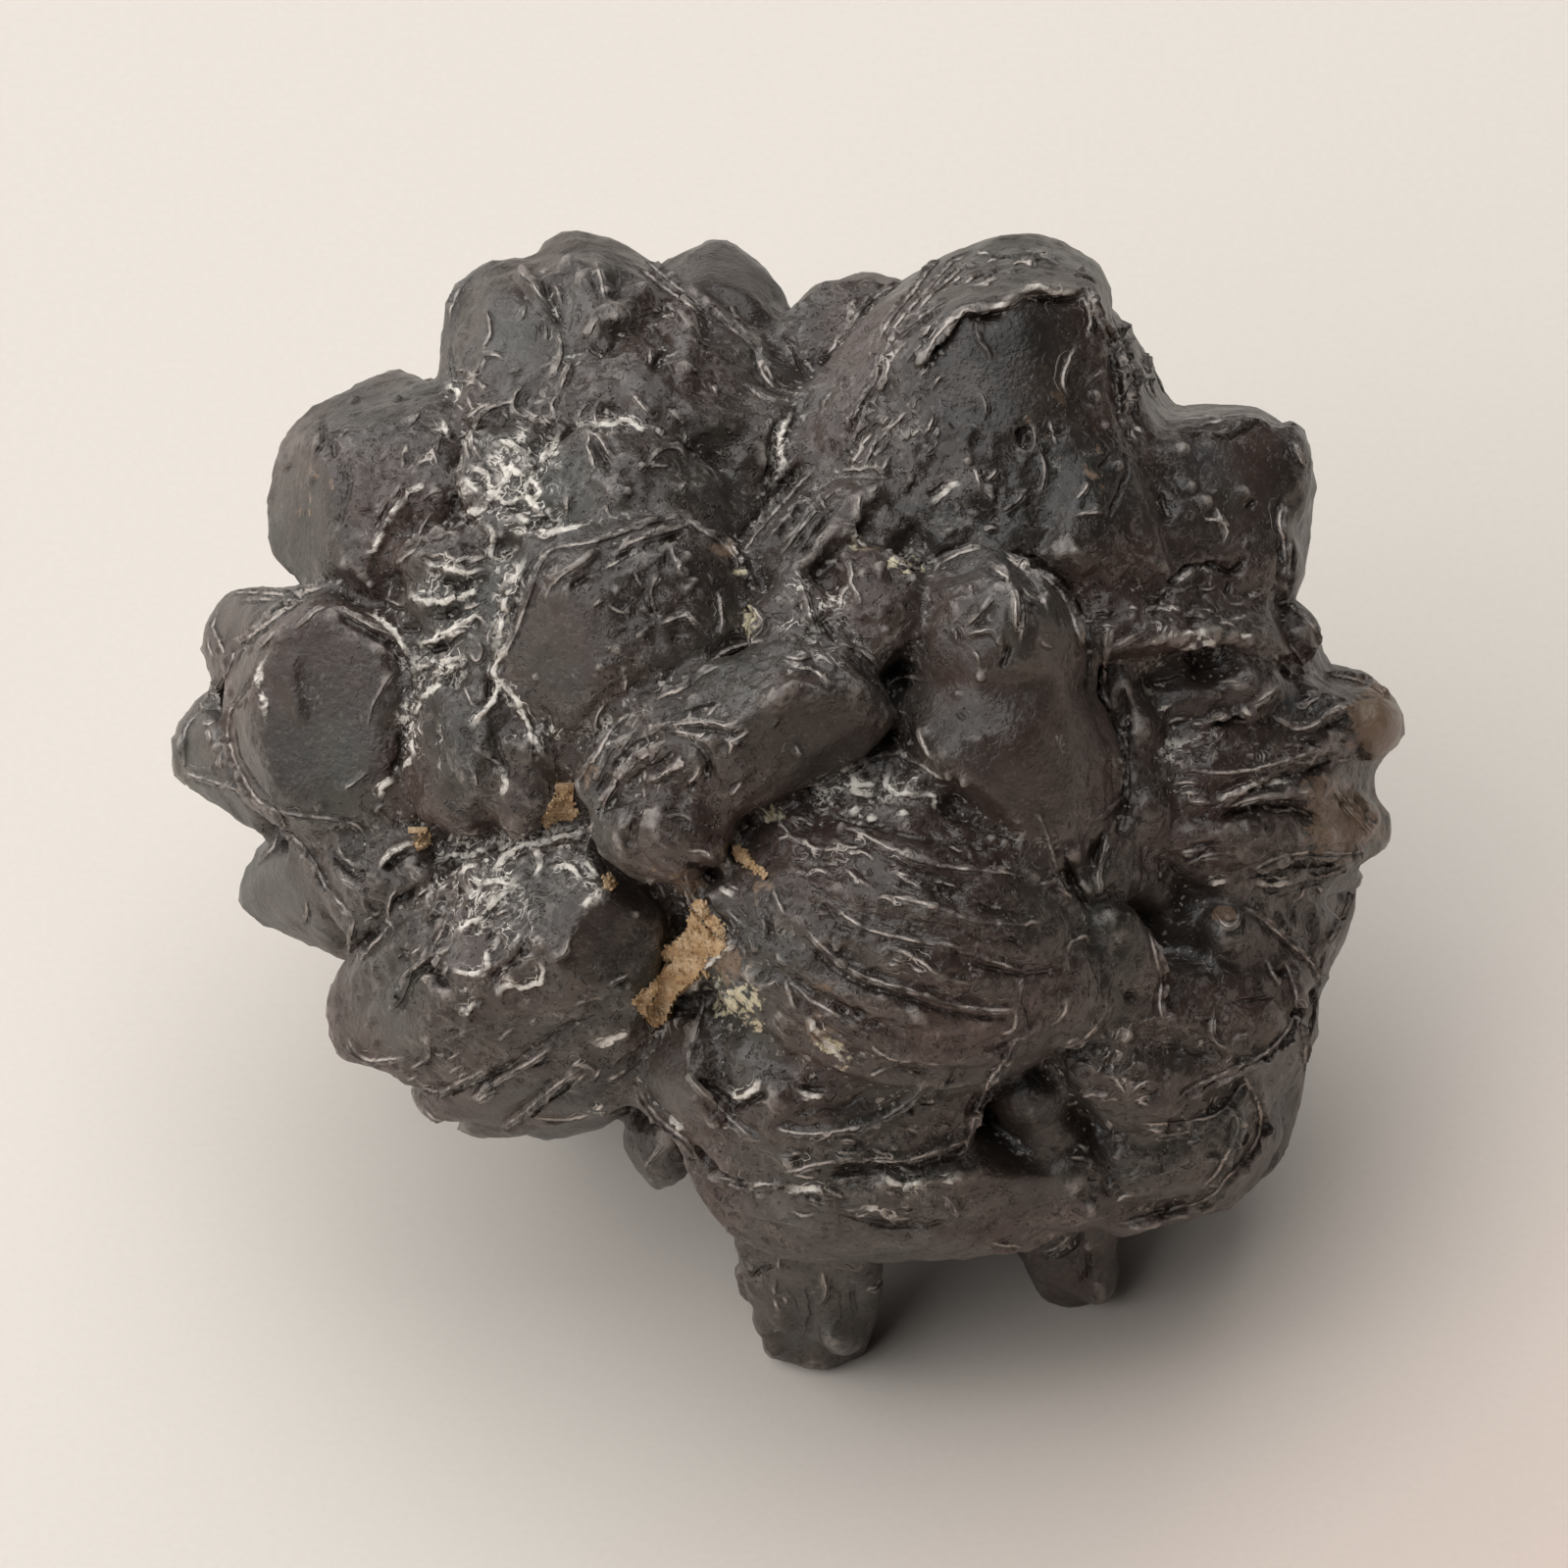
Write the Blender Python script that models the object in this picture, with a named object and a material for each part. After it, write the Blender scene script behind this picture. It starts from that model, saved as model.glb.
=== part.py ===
# Goethite and hematite specimen: one aggregate of worn, tabular crystals grown together round a centre.
# It rests on four worn crystal tips. Metres, +Z up, origin on the ground under the middle of the stone.
#
# Crystal corners are given on the stone's face, in millimetres from its middle: (right, up, out), with "out"
# towards someone who looks down on it at VIEW_TILT. Then the whole face is turned into the resting pose.

import math
import random

import bmesh
import bpy
from mathutils import Matrix, Vector

MM = 0.001
VIEW_TILT = math.radians(45)      # the face looks up at this angle from the ground
MIDDLE_HEIGHT = 20.0              # of the stone's middle over the ground, mm
MIDDLE_ALONG = -1.0               # of the stone's middle along Y, so that the whole stone is centred, mm
ROOT_SHARE = 0.42                 # how deep a crystal roots, as a share of its corners' way to the middle
CAP_SHARE = 0.9                   # a crystal's cap against its corners: the worn slope round its rim
RIM_SHARE = 1.05                  # its rim against its corners, so that neighbours meet
RIM_DROP = 1.0                    # how far the rim lies under the cap, mm
GROUND_CLEARANCE = 1.4            # no crystal but a foot comes nearer to the ground, mm
UNEVENNESS = 0.06                 # how far a corner may lie off its place, mm: no two crystals just touch
HIDDEN_CRYSTALS = 62              # spread evenly over the stone, those on the face left out
HIDDEN_LIMIT = (22.5, 20.0)       # half widths of the oval that the hidden crystals keep to on the face, mm
HIDDEN_LIMIT_MIDDLE = (2.0, 1.0)
HIDDEN_DIP = 5.5                  # how much less they reach at the lower left, where the ground shows, mm
HIDDEN_DIP_SIDE = (-0.35, -0.94)
BLADE_SPACING = 2.1               # in a pack of parallel blades, mm
HIDDEN_SEED = 7

STONE_COLOUR = (0.072, 0.060, 0.056, 1.0)
STONE_ROUGHNESS = 0.5
STONE_METALLIC = 0.15

# The solid heart that the crystals grow from: the middle and half widths of each lobe, on the face, mm.
HEART_LOBES = [
    ((1.5, 2.0, 0.0), (18.5, 15.4, 16.5)),
    ((-6.0, 5.0, 0.0), (14.0, 12.5, 17.0)),
    ((8.0, 9.5, 0.0), (11.0, 10.0, 16.2)),
]

# Crystals on the upper left, from the shoulder to the top.
UPPER_LEFT = {
    "shoulder": [
        (-19.3, 8.7, 5), (-20.9, 10.2, 4), (-21.1, 12.2, 3), (-20.7, 14.0, 2), (-19.6, 15.7, 2),
        (-18.1, 16.5, 1), (-16.1, 17.5, 0), (-15.0, 17.2, 1), (-19.0, 14.6, 7.4), (-18.5, 12.5, 9.2),
        (-18.4, 9.6, 9.4), (-14.0, 16.0, 8), (-13.4, 14.0, 10.2), (-15.5, 11.5, 11.6), (-17.0, 9.0, 11)],
    "grey block": [
        (-14.1, 16.8, 4), (-14.0, 19.0, 2), (-13.8, 20.4, 1), (-13.0, 21.4, 1), (-12.2, 21.9, 1),
        (-10.8, 22.1, 0), (-12.0, 19.4, -4), (-12.0, 20.6, 4.5), (-9.0, 21.4, 5), (-8.6, 17.8, 9.5),
        (-12.0, 17.0, 8.5), (-12.8, 15.2, 9.4), (-8.0, 15.2, 11.6)],
    "crest": [
        (-10.0, 22.7, 0), (-8.8, 23.2, 0), (-7.2, 22.9, 0), (-5.6, 22.0, 0), (-8.4, 20.6, -6),
        (-9.4, 21.8, 4), (-8.0, 21.6, 6), (-6.6, 20.0, 8.5), (-4.0, 20.2, 5), (-8.4, 18.4, 9)],
    "ridge slab": [
        (-5.6, 22.0, -1), (-4.0, 20.9, 2), (-1.6, 18.8, 5), (0.8, 16.6, 7), (1.2, 17.6, 3),
        (-3.0, 15.0, 12.5), (-6.0, 15.4, 13), (-6.6, 18.0, 10.5), (0.0, 14.6, 11), (-5.0, 19.5, 7)],
    "top lobe": [
        (-5.4, 21.8, -4), (-4.0, 22.6, -5), (-3.0, 23.1, -5), (-2.0, 22.8, -5), (-1.0, 22.0, -4),
        (-0.2, 21.0, -3), (0.3, 19.9, -2), (-3.6, 21.2, 0), (-1.6, 20.4, 1.5), (-0.4, 19.2, 1)],
    "back lobe": [
        (0.3, 19.9, -4), (1.2, 20.6, -5), (2.4, 21.5, -6), (3.4, 21.7, -6), (4.4, 21.4, -6),
        (6.0, 21.0, -5), (1.4, 18.6, 1), (3.2, 19.6, 0), (5.0, 19.0, 2), (1.6, 17.0, 4), (4.0, 17.0, 5)],
    "crest back": [
        (-10.6, 21.0, -5), (-8.0, 22.2, -4), (-5.0, 21.8, -6), (-4.4, 19.4, -10), (-7.4, 18.4, -12),
        (-10.2, 18.8, -10), (-7.6, 21.0, -9)],
    "shoulder back": [
        (-19.4, 13.8, -3), (-17.6, 15.8, -3), (-14.6, 17.4, -5), (-13.4, 16.4, -9), (-16.0, 12.8, -10),
        (-19.0, 10.8, -7), (-16.8, 14.6, -8)],
    "upper middle": [
        (-7.8, 15.4, 12), (-4.8, 15.0, 12), (-2.6, 12.8, 13), (-2.2, 10.6, 14.5), (-4.6, 11.4, 16.2),
        (-9.0, 14.0, 13.6), (-9.8, 11.6, 15), (-7.0, 11.6, 16.2), (-6.0, 13.6, 15.4), (-10.5, 13.0, 13.5)],
    "dusty hollow": [
        (-12.8, 14.8, 10.8), (-10.0, 15.2, 12), (-9.8, 11.4, 14.2), (-12.0, 10.8, 13.6),
        (-13.4, 12.6, 12), (-11.0, 12.6, 13.6)],
    "first crest row": [
        (-16.6, 9.6, 10), (-15.0, 10.6, 12), (-12.4, 10.9, 13.5), (-11.8, 9.4, 15), (-14.5, 8.8, 13)],
    "second crest row": [
        (-15.8, 8.2, 11.5), (-13.8, 8.9, 13.5), (-11.6, 8.6, 15), (-11.8, 7.0, 15.5), (-14.4, 7.0, 13.5)],
    "third crest row": [
        (-15.0, 6.6, 12.3), (-11.8, 6.8, 15.5), (-12.0, 5.4, 15.5), (-14.4, 5.2, 12.8)],
}

# Crystals on the upper right.
UPPER_RIGHT = {
    "great block": [
        (5.0, 21.1, 2), (7.0, 22.3, 3), (8.4, 22.7, 4), (10.0, 22.8, 4), (11.0, 22.6, 3),
        (12.4, 21.8, 3), (13.0, 20.6, 4), (6.0, 19.6, -4), (9.0, 21.0, -6), (12.0, 19.0, -5),
        (5.6, 18.4, 14.2), (7.2, 19.8, 14), (9.6, 20.3, 13.6), (12.2, 20.6, 11), (4.4, 12.8, 15.6),
        (6.4, 10.6, 16.2), (9.4, 10.4, 16.2), (11.6, 12.0, 15), (13.0, 15.0, 12.6), (3.6, 19.6, 8),
        (0.6, 16.0, 9), (0.2, 14.0, 12), (2.0, 12.6, 14)],
    "great block back": [
        (7.4, 21.4, -4), (10.4, 22.0, -3), (13.2, 19.8, -4), (14.0, 16.6, -9), (10.6, 16.8, -13),
        (6.8, 18.0, -11), (10.6, 20.0, -9)],
    "side ridge": [
        (13.0, 20.4, -2), (14.2, 19.2, -2), (14.8, 18.2, -2), (15.4, 16.6, -1), (15.8, 15.9, 0),
        (12.6, 19.6, 8), (13.6, 18.0, 9), (14.2, 15.8, 10), (13.4, 12.0, 14), (15.4, 13.5, 10),
        (12.4, 14.0, 14)],
    "brown slope": [
        (11.6, 14.0, 14), (13.6, 14.4, 12.4), (15.0, 11.0, 13), (15.6, 9.0, 13.5), (12.0, 9.0, 15.6),
        (10.6, 10.0, 16.4), (12.8, 11.4, 15)],
    "corner block": [
        (16.0, 16.0, -2), (17.4, 16.2, -2), (19.2, 15.9, -1), (20.4, 15.2, 0), (21.2, 14.2, 1),
        (21.6, 13.2, 2), (21.4, 12.2, 3), (21.1, 10.8, 3), (21.1, 9.4, 3), (20.5, 8.2, 4),
        (16.0, 15.2, 8), (19.2, 15.4, 7.5), (20.3, 14.0, 8), (20.2, 10.5, 9), (19.8, 8.8, 9.5),
        (16.2, 9.2, 12.5), (14.6, 11.0, 13), (14.6, 14.0, 11)],
    "corner block back": [
        (20.6, 13.0, -4), (20.2, 10.0, -3), (19.9, 8.0, -3), (20.8, 5.6, -3), (20.4, 12.0, -9),
        (20.0, 8.5, -10), (20.2, 4.5, -9), (18.6, 14.0, -8), (20.8, 6.5, -7)],
    "corner block side": [
        (20.6, 14.4, -1.5), (19.8, 15.5, -3), (18.0, 16.0, -8), (17.6, 15.0, -11.5), (19.4, 12.6, -11),
        (20.8, 12.2, -6), (20.8, 13.4, -3.5)],
    "shelf back": [
        (20.4, 7.6, 1), (21.6, 6.0, 0), (21.6, 4.4, -6), (20.8, 6.8, -8), (20.4, 9.2, -6), (20.2, 9.2, -1)],
    "shelf": [
        (20.4, 8.2, 2), (21.4, 7.0, 2), (22.0, 5.8, 3), (21.6, 5.2, 5), (13.2, 6.1, 16),
        (17.4, 6.6, 14), (20.0, 6.0, 10.5), (12.0, 8.6, 15), (16.0, 8.8, 12.5), (19.6, 8.2, 8.5)],
    "fan top blade": [
        (22.0, 5.5, 2), (23.6, 5.2, 0), (24.8, 4.4, -1), (25.4, 3.4, -1), (25.2, 2.4, 0),
        (24.0, 1.5, 2), (20.4, 4.9, 8.6), (23.0, 4.0, 6.5), (23.0, 3.0, 7.5), (21.4, 1.6, 9.6),
        (16.5, 0.6, 13.2), (14.4, 1.9, 13), (17.4, 3.4, 12)],
    "fan middle blade": [
        (24.0, 1.5, 1), (24.0, 0.6, 1), (22.4, 1.0, 7.6), (19.4, 1.2, 11), (18.0, 0.0, 12.6),
        (21.6, 0.0, 9), (15.0, -0.4, 13.6)],
    "fan lower blade": [
        (24.0, 0.2, 1), (24.7, -0.8, 0.5), (24.6, -2.0, 1), (23.4, -2.5, 3.5), (21.8, 0.0, 7.6),
        (22.4, -1.6, 8), (18.0, -0.6, 12), (16.0, -1.8, 13), (18.5, -2.6, 11.6), (13.8, -1.0, 13.4)],
    "fan last blade": [
        (23.6, -2.8, 1), (23.4, -3.6, 0.5), (21.0, -2.4, 8), (21.0, -3.6, 7.4), (17.2, -3.4, 11),
        (14.5, -2.0, 12.8), (18.0, -4.5, 9)],
}

# Crystals in the middle of the face.
MIDDLE = {
    "six-sided": [
        (-10.2, 10.6, 15.5), (-8.0, 10.9, 17), (-4.0, 11.6, 17.2), (-2.0, 10.2, 16.6), (-1.2, 7.8, 16.8),
        (-2.4, 6.2, 18), (-11.6, 8.0, 15.6), (-11.7, 5.6, 15.8), (-10.6, 3.6, 16), (-8.4, 3.0, 17.2),
        (-9.4, 9.4, 18.2), (-8.6, 7.6, 18.8), (-7.4, 4.6, 18.6), (-4.6, 10.2, 18.8), (-2.9, 8.4, 18.6),
        (-4.4, 5.2, 18.6)],
    "long ridge": [
        (-8.4, 1.2, 17), (-6.4, 3.8, 18), (-4.0, 5.0, 19), (0.0, 6.6, 19.5), (2.4, 6.6, 19),
        (4.4, 3.4, 19), (3.0, 1.8, 19.5), (0.0, 0.6, 20), (-1.6, -0.4, 20), (-5.0, -0.4, 19),
        (-8.0, 0.0, 17.5), (-3.2, 2.2, 22), (0.0, 4.4, 22.8), (2.6, 4.8, 21.8), (3.8, 3.2, 21)],
    "lobe under the ridge": [
        (-7.8, -0.6, 17.5), (-7.4, -2.0, 17.5), (-6.0, -3.2, 17.5), (-4.0, -3.4, 18), (-2.4, -2.0, 19),
        (-2.0, -0.4, 19.5), (-4.5, 0.6, 20), (-6.0, -0.6, 20), (-4.6, -2.2, 20)],
    "slanting ridge": [
        (-2.0, 10.4, 14), (-0.6, 8.6, 16.5), (1.0, 12.6, 13), (3.4, 13.4, 14), (4.0, 12.4, 16),
        (2.0, 10.4, 17), (0.4, 9.0, 17.5), (1.2, 11.2, 16.5)],
    "bumps": [
        (2.0, 10.0, 16), (3.6, 10.2, 16.5), (5.4, 9.0, 17), (5.4, 6.6, 18), (3.8, 5.4, 18.5),
        (2.2, 6.8, 18), (3.0, 8.6, 18.5), (4.4, 7.6, 18.8)],
    "dusty bump": [
        (-1.0, 8.0, 17.6), (0.6, 9.0, 17.4), (2.0, 8.0, 17.8), (2.0, 6.4, 18.5), (0.0, 6.2, 18.8),
        (-1.6, 6.6, 18.2)],
    "dome": [
        (5.4, 8.8, 16), (6.4, 9.7, 16), (8.0, 10.3, 16), (9.8, 9.6, 15.5), (11.2, 8.4, 15.5),
        (12.2, 6.8, 15), (12.4, 4.6, 15), (6.6, 8.0, 20), (8.6, 8.6, 20.5), (10.0, 7.4, 20.5),
        (10.0, 5.2, 20), (7.6, 4.6, 20), (5.6, 5.6, 19), (11.6, 6.8, 17.5), (11.4, 4.8, 17.5)],
    "smooth body": [
        (5.0, 4.4, 18), (7.5, 4.8, 19.5), (11.0, 4.8, 18.5), (12.8, 3.8, 15), (13.6, 1.6, 14.5),
        (12.8, -1.6, 15), (10.6, -2.6, 17), (8.0, 0.0, 19.5), (6.0, 1.4, 20), (5.4, 2.6, 19.5),
        (9.5, 2.6, 20), (11.8, 0.2, 17.5)],
    "side valley": [
        (12.8, 2.0, 13.5), (14.5, 2.5, 12.5), (14.8, -1.0, 12.5), (14.2, -4.0, 13), (12.6, -3.4, 15),
        (12.6, 0.0, 14.5)],
    "column": [
        (12.8, -4.4, 15.5), (14.0, -4.4, 14.5), (15.0, -6.0, 13), (15.2, -9.0, 11.5), (13.6, -10.0, 12.5),
        (12.6, -8.0, 14)],
    "ribs beside the sand": [
        (-4.0, -3.2, 17), (-2.0, -3.8, 18.5), (-0.4, -5.4, 19), (-0.6, -7.2, 17.5), (-2.4, -6.6, 16),
        (-3.0, -5.0, 16.5)],
    "tan edge": [
        (0.0, -7.4, 17), (2.4, -7.4, 18), (4.0, -10.0, 16), (3.2, -11.4, 14.5), (1.0, -10.0, 15),
        (2.6, -9.2, 17.5)],
    "fan end": [
        (10.2, -7.0, 17), (12.4, -6.0, 15.5), (13.0, -8.0, 14), (12.2, -9.8, 14), (10.0, -10.0, 15),
        (9.4, -8.6, 17), (11.4, -8.0, 17)],
}

# Crystals on the left and the lower left.
LEFT = {
    "back knob": [
        (-19.3, 8.7, -1), (-21.6, 8.7, -4), (-23.0, 8.6, -5), (-23.8, 7.4, -5), (-24.1, 6.2, -5),
        (-23.5, 4.6, -4), (-22.0, 7.6, 0), (-22.4, 5.2, 1), (-20.4, 8.0, 3)],
    "far knob": [
        (-23.5, 4.6, -4), (-24.2, 4.2, -5), (-24.8, 3.2, -5), (-25.3, 2.4, -5), (-25.2, 1.4, -5),
        (-24.8, 0.7, -4.5), (-23.8, 0.3, -3), (-23.0, 0.1, -2), (-22.0, -0.6, -1), (-21.4, -1.4, 0),
        (-23.6, 3.2, -0.5), (-23.2, 1.2, 0), (-21.6, 0.0, 3)],
    "disc": [
        (-18.6, 8.6, 7), (-20.4, 8.0, 5.5), (-22.2, 6.4, 3.6), (-22.9, 4.6, 3), (-22.8, 2.2, 3),
        (-22.0, 0.2, 4), (-20.4, -1.0, 6), (-18.0, -1.4, 8), (-18.4, 7.9, 11.6), (-20.4, 7.0, 10.5),
        (-21.4, 5.0, 9.6), (-21.5, 2.6, 9.4), (-20.4, -0.2, 9.4), (-18.8, -0.7, 9.8), (-16.4, 0.6, 11.2),
        (-15.4, 3.8, 12), (-15.6, 6.0, 12.2), (-16.2, 6.8, 12.2), (-15.0, -1.0, 10.5)],
    "green-grey face": [
        (-14.8, 5.0, 12), (-13.8, 6.0, 13), (-11.8, 5.8, 15), (-11.6, 3.8, 16), (-12.0, 0.5, 15.5),
        (-13.0, -1.4, 13.5), (-14.8, -0.4, 12), (-15.0, 2.5, 12), (-13.4, 3.6, 15), (-13.0, 1.2, 15)],
    "brown post": [
        (-11.6, 3.4, 15.5), (-10.0, 2.8, 16), (-9.6, -0.4, 15.5), (-11.0, -1.6, 14), (-12.0, 0.0, 14.5)],
    "lower flank": [
        (-20.6, -1.0, 3), (-18.0, -1.6, 8), (-15.0, -1.4, 10.5), (-14.6, -3.0, 11), (-16.0, -4.6, 9.5),
        (-17.6, -5.8, 7), (-19.0, -4.0, 5), (-17.5, -3.4, 9.5)],
    "spike": [
        (-21.2, -1.4, -2), (-21.8, -2.2, -3), (-22.5, -3.6, -4), (-22.4, -4.4, -4), (-21.2, -5.2, -3),
        (-19.8, -5.5, -2), (-18.0, -6.6, 0), (-20.4, -2.4, 3), (-18.8, -4.6, 4.5), (-18.6, -2.0, 6)],
    "first long blade": [
        (-18.0, -6.6, 4), (-18.5, -8.0, 4), (-18.6, -9.4, 4), (-18.0, -10.5, 4), (-15.8, -11.0, 7),
        (-14.5, -9.8, 11), (-16.0, -5.0, 9), (-12.5, -2.4, 13), (-8.5, -1.8, 15), (-7.6, -3.5, 16.5),
        (-9.5, -6.0, 16.4), (-13.6, -7.8, 13.6), (-9.2, -7.6, 15)],
    "dark end": [
        (-9.0, -4.0, 16), (-7.4, -3.4, 16.5), (-4.8, -4.6, 15), (-5.0, -6.4, 14.5), (-6.4, -8.0, 14.3),
        (-9.0, -8.0, 14.8), (-9.6, -6.6, 16.2)],
    "second long blade": [
        (-16.0, -10.4, 6), (-15.4, -11.6, 5.4), (-13.0, -11.2, 9), (-12.8, -8.4, 13.4), (-8.8, -7.4, 14.8),
        (-5.4, -7.6, 14.2), (-6.2, -9.4, 13), (-11.0, -10.6, 10.8)],
    "third long blade": [
        (-15.4, -11.8, 3.5), (-14.6, -13.0, 3.4), (-12.8, -13.0, 5.2), (-12.4, -10.8, 10.4),
        (-8.4, -9.6, 12.2), (-5.6, -9.2, 12.6), (-6.6, -10.8, 11), (-11.8, -12.6, 7)],
    "fourth long blade": [
        (-13.6, -13.4, 2.2), (-12.2, -13.8, 2), (-11.4, -12.0, 7.6), (-8.0, -11.0, 9.8), (-5.8, -10.6, 10.4),
        (-6.6, -12.4, 7.6), (-10.6, -13.6, 3.6)],
    "last long blade": [
        (-11.0, -13.6, 1), (-9.4, -13.8, 0.8), (-7.6, -13.4, 1), (-6.6, -12.9, 3), (-6.0, -11.8, 7.4),
        (-9.0, -12.6, 5.4), (-7.4, -13.0, 4.4)],
    "tongue": [
        (-6.4, -13.0, 1), (-6.7, -13.9, 0.5), (-6.1, -15.2, 0), (-5.3, -15.9, 0), (-4.3, -15.7, 0.5),
        (-3.7, -14.6, 2), (-4.6, -13.2, 5), (-5.6, -14.2, 3), (-5.0, -15.0, 3)],
}

# Crystals at the bottom of the face and on the lower right.
LOWER = {
    "grey lobe": [
        (-5.9, -9.3, 9), (-6.2, -11.0, 8), (-5.8, -12.6, 7.5), (-4.0, -14.2, 8), (-4.4, -8.8, 12),
        (-3.2, -9.2, 13), (-3.6, -12.0, 13.4), (-5.2, -10.6, 11.6), (-2.4, -13.6, 12)],
    "front block": [
        (-3.6, -9.8, 12), (-2.4, -8.6, 13), (0.0, -9.0, 14.5), (2.6, -11.0, 14.5), (7.5, -11.5, 12.5),
        (8.4, -11.0, 11), (7.2, -14.2, 11), (4.0, -15.4, 11.5), (0.5, -15.8, 12), (-2.4, -15.0, 11),
        (-4.0, -13.4, 10), (-0.8, -12.2, 14.8), (3.0, -13.0, 14)],
    "lower ledge": [
        (-4.0, -14.6, 8), (-3.2, -16.2, 7), (-2.2, -17.6, 6), (0.5, -15.8, 12), (4.0, -15.4, 12.6),
        (7.6, -14.8, 11.4), (10.4, -15.2, 9.2), (11.6, -17.4, 5), (9.4, -18.4, 5), (4.0, -18.8, 6),
        (0.0, -18.6, 6.5), (2.0, -17.6, 9.5), (7.0, -17.8, 8)],
    "upper shell": [
        (20.2, -6.0, 5), (20.9, -8.2, 5), (20.4, -10.4, 5), (18.8, -11.8, 6), (16.2, -12.6, 8),
        (14.2, -6.6, 11.5), (17.0, -6.8, 10.8), (19.6, -7.2, 9), (20.1, -9.0, 8.6), (19.2, -10.6, 8.8),
        (16.4, -11.6, 10.4), (13.0, -10.6, 12.6), (12.2, -8.6, 13), (15.4, -8.8, 12)],
    "upper shell tail": [
        (11.4, -10.2, 12.4), (13.6, -10.0, 12.6), (16.0, -11.6, 10.6), (15.4, -13.2, 9), (13.2, -13.4, 9.4),
        (11.6, -11.6, 11.6), (13.8, -11.8, 11.6)],
    "upper shell edge": [
        (20.6, -5.2, 2.4), (21.8, -7.6, 2.4), (21.6, -9.8, 2.4), (20.6, -11.8, 2.4), (18.8, -13.0, 4),
        (16.2, -13.8, 5.4), (13.6, -13.4, 8), (19.4, -6.0, 6.6), (20.6, -9.6, 6), (18.4, -12.0, 7)],
    "shell face": [
        (17.8, -4.8, 9.4), (19.0, -4.2, 8.8), (21.4, -3.8, 5.4), (22.7, -5.0, 3.4), (21.8, -7.2, 4.4),
        (20.9, -8.2, 6.6), (17.8, -8.0, 10), (16.8, -6.8, 10.2)],
    "lower shell": [
        (19.3, -11.8, 2), (19.5, -13.0, 2), (18.9, -14.6, 2), (17.6, -16.1, 2), (14.5, -17.2, 2),
        (13.2, -17.2, 2.5), (17.6, -12.4, 7), (18.2, -14.0, 6.6), (16.6, -15.6, 6.6), (13.5, -16.2, 7),
        (12.6, -14.8, 7.4), (14.0, -13.4, 8.6)],
    "lower shell edge": [
        (20.2, -12.4, -1), (20.4, -13.6, -1), (19.6, -15.2, -1), (18.2, -16.7, -1), (15.2, -17.4, -0.5),
        (19.2, -13.6, 3.6), (18.2, -15.4, 3.6), (15.4, -16.8, 3.6)],
    "under shell": [
        (14.2, -13.4, 8), (18.2, -12.2, 6.6), (18.9, -13.4, 6), (16.4, -14.4, 7.2), (13.4, -14.4, 7.6)],
    "side plate": [
        (23.6, -3.4, -4), (23.4, -4.6, -4), (22.2, -6.2, -4), (21.8, -7.8, -4), (21.2, -9.6, -5),
        (20.8, -4.0, 3.4), (20.0, -7.0, 3.4), (19.2, -10.0, 2)],
    "lower side plate": [
        (21.6, -8.8, -4), (21.2, -10.6, -5), (21.3, -12.0, -5), (20.8, -13.6, -5), (20.2, -15.0, -5),
        (18.6, -16.4, -5), (16.0, -16.7, -4), (19.6, -8.6, 3), (18.8, -12.0, 2.2), (16.0, -14.5, 2)],
}

# Feet: the middle and the half widths of the worn tip on the ground, mm, and the shank's corners on the face.
FEET = {
    "front foot": ((1.3, -13.0), (2.2, 1.1), [
        (-2.2, -17.4, 2.5), (-2.0, -19.0, 0.8), (-1.0, -20.0, -1.6), (4.0, -18.8, 0.8), (3.9, -20.6, -2.0),
        (0.0, -17.8, 5.0), (3.2, -17.8, 5.5), (-0.4, -19.0, -7.0), (3.4, -18.4, -7.5)]),
    "right foot": ((11.8, -9.8), (1.4, 0.9), [
        (9.6, -18.4, -2.5), (13.6, -18.4, -4.0), (13.8, -16.8, -2.0), (9.5, -16.8, 1.0), (12.8, -16.8, 1.5),
        (10.2, -19.7, -6.0), (13.3, -19.4, -6.2), (9.8, -16.6, -9.5), (13.6, -16.4, -9.0)]),
    "left foot": ((-10.0, 4.0), (1.6, 1.4), [
        (-15.0, -3.4, -13.5), (-13.4, -8.6, -12.0), (-8.6, -10.6, -12.5), (-6.0, -7.0, -17.0),
        (-9.4, -2.0, -18.5), (-13.6, -6.0, -16.2), (-8.4, -9.0, -16.4)]),
    "back foot": ((8.0, 12.0), (1.5, 1.3), [
        (4.0, 2.4, -21.5), (12.0, 2.6, -19.5), (13.0, -3.4, -17.5), (5.0, -5.6, -18.8), (9.0, -6.4, -18.6),
        (3.4, -1.6, -21.0), (8.4, 1.0, -22.4)]),
}
FOOT_CORNERS = 7

# The ribbed fan: ribs run from one pole to the other, as on a shell. Face coordinates, mm.
FAN_POLES = ((-3.6, -2.6, 13.5), (12.2, -7.6, 11.5))
FAN_HALF_WIDTH = 6.6
FAN_HALF_DEPTH = 8.2
FAN_RIBS = 20
FAN_RIB_HEIGHT = 0.32
FAN_RINGS = 11


def empty_scene():
    for obj in list(bpy.data.objects):
        bpy.data.objects.remove(obj, do_unlink=True)


def face_to_world():
    """Turns face coordinates in mm into the resting pose in metres."""
    tilt = Matrix.Rotation(math.pi / 2 - VIEW_TILT, 4, "X")
    return Matrix.Translation(Vector((0, MIDDLE_ALONG, MIDDLE_HEIGHT)) * MM) @ tilt @ Matrix.Scale(MM, 4)


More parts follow.
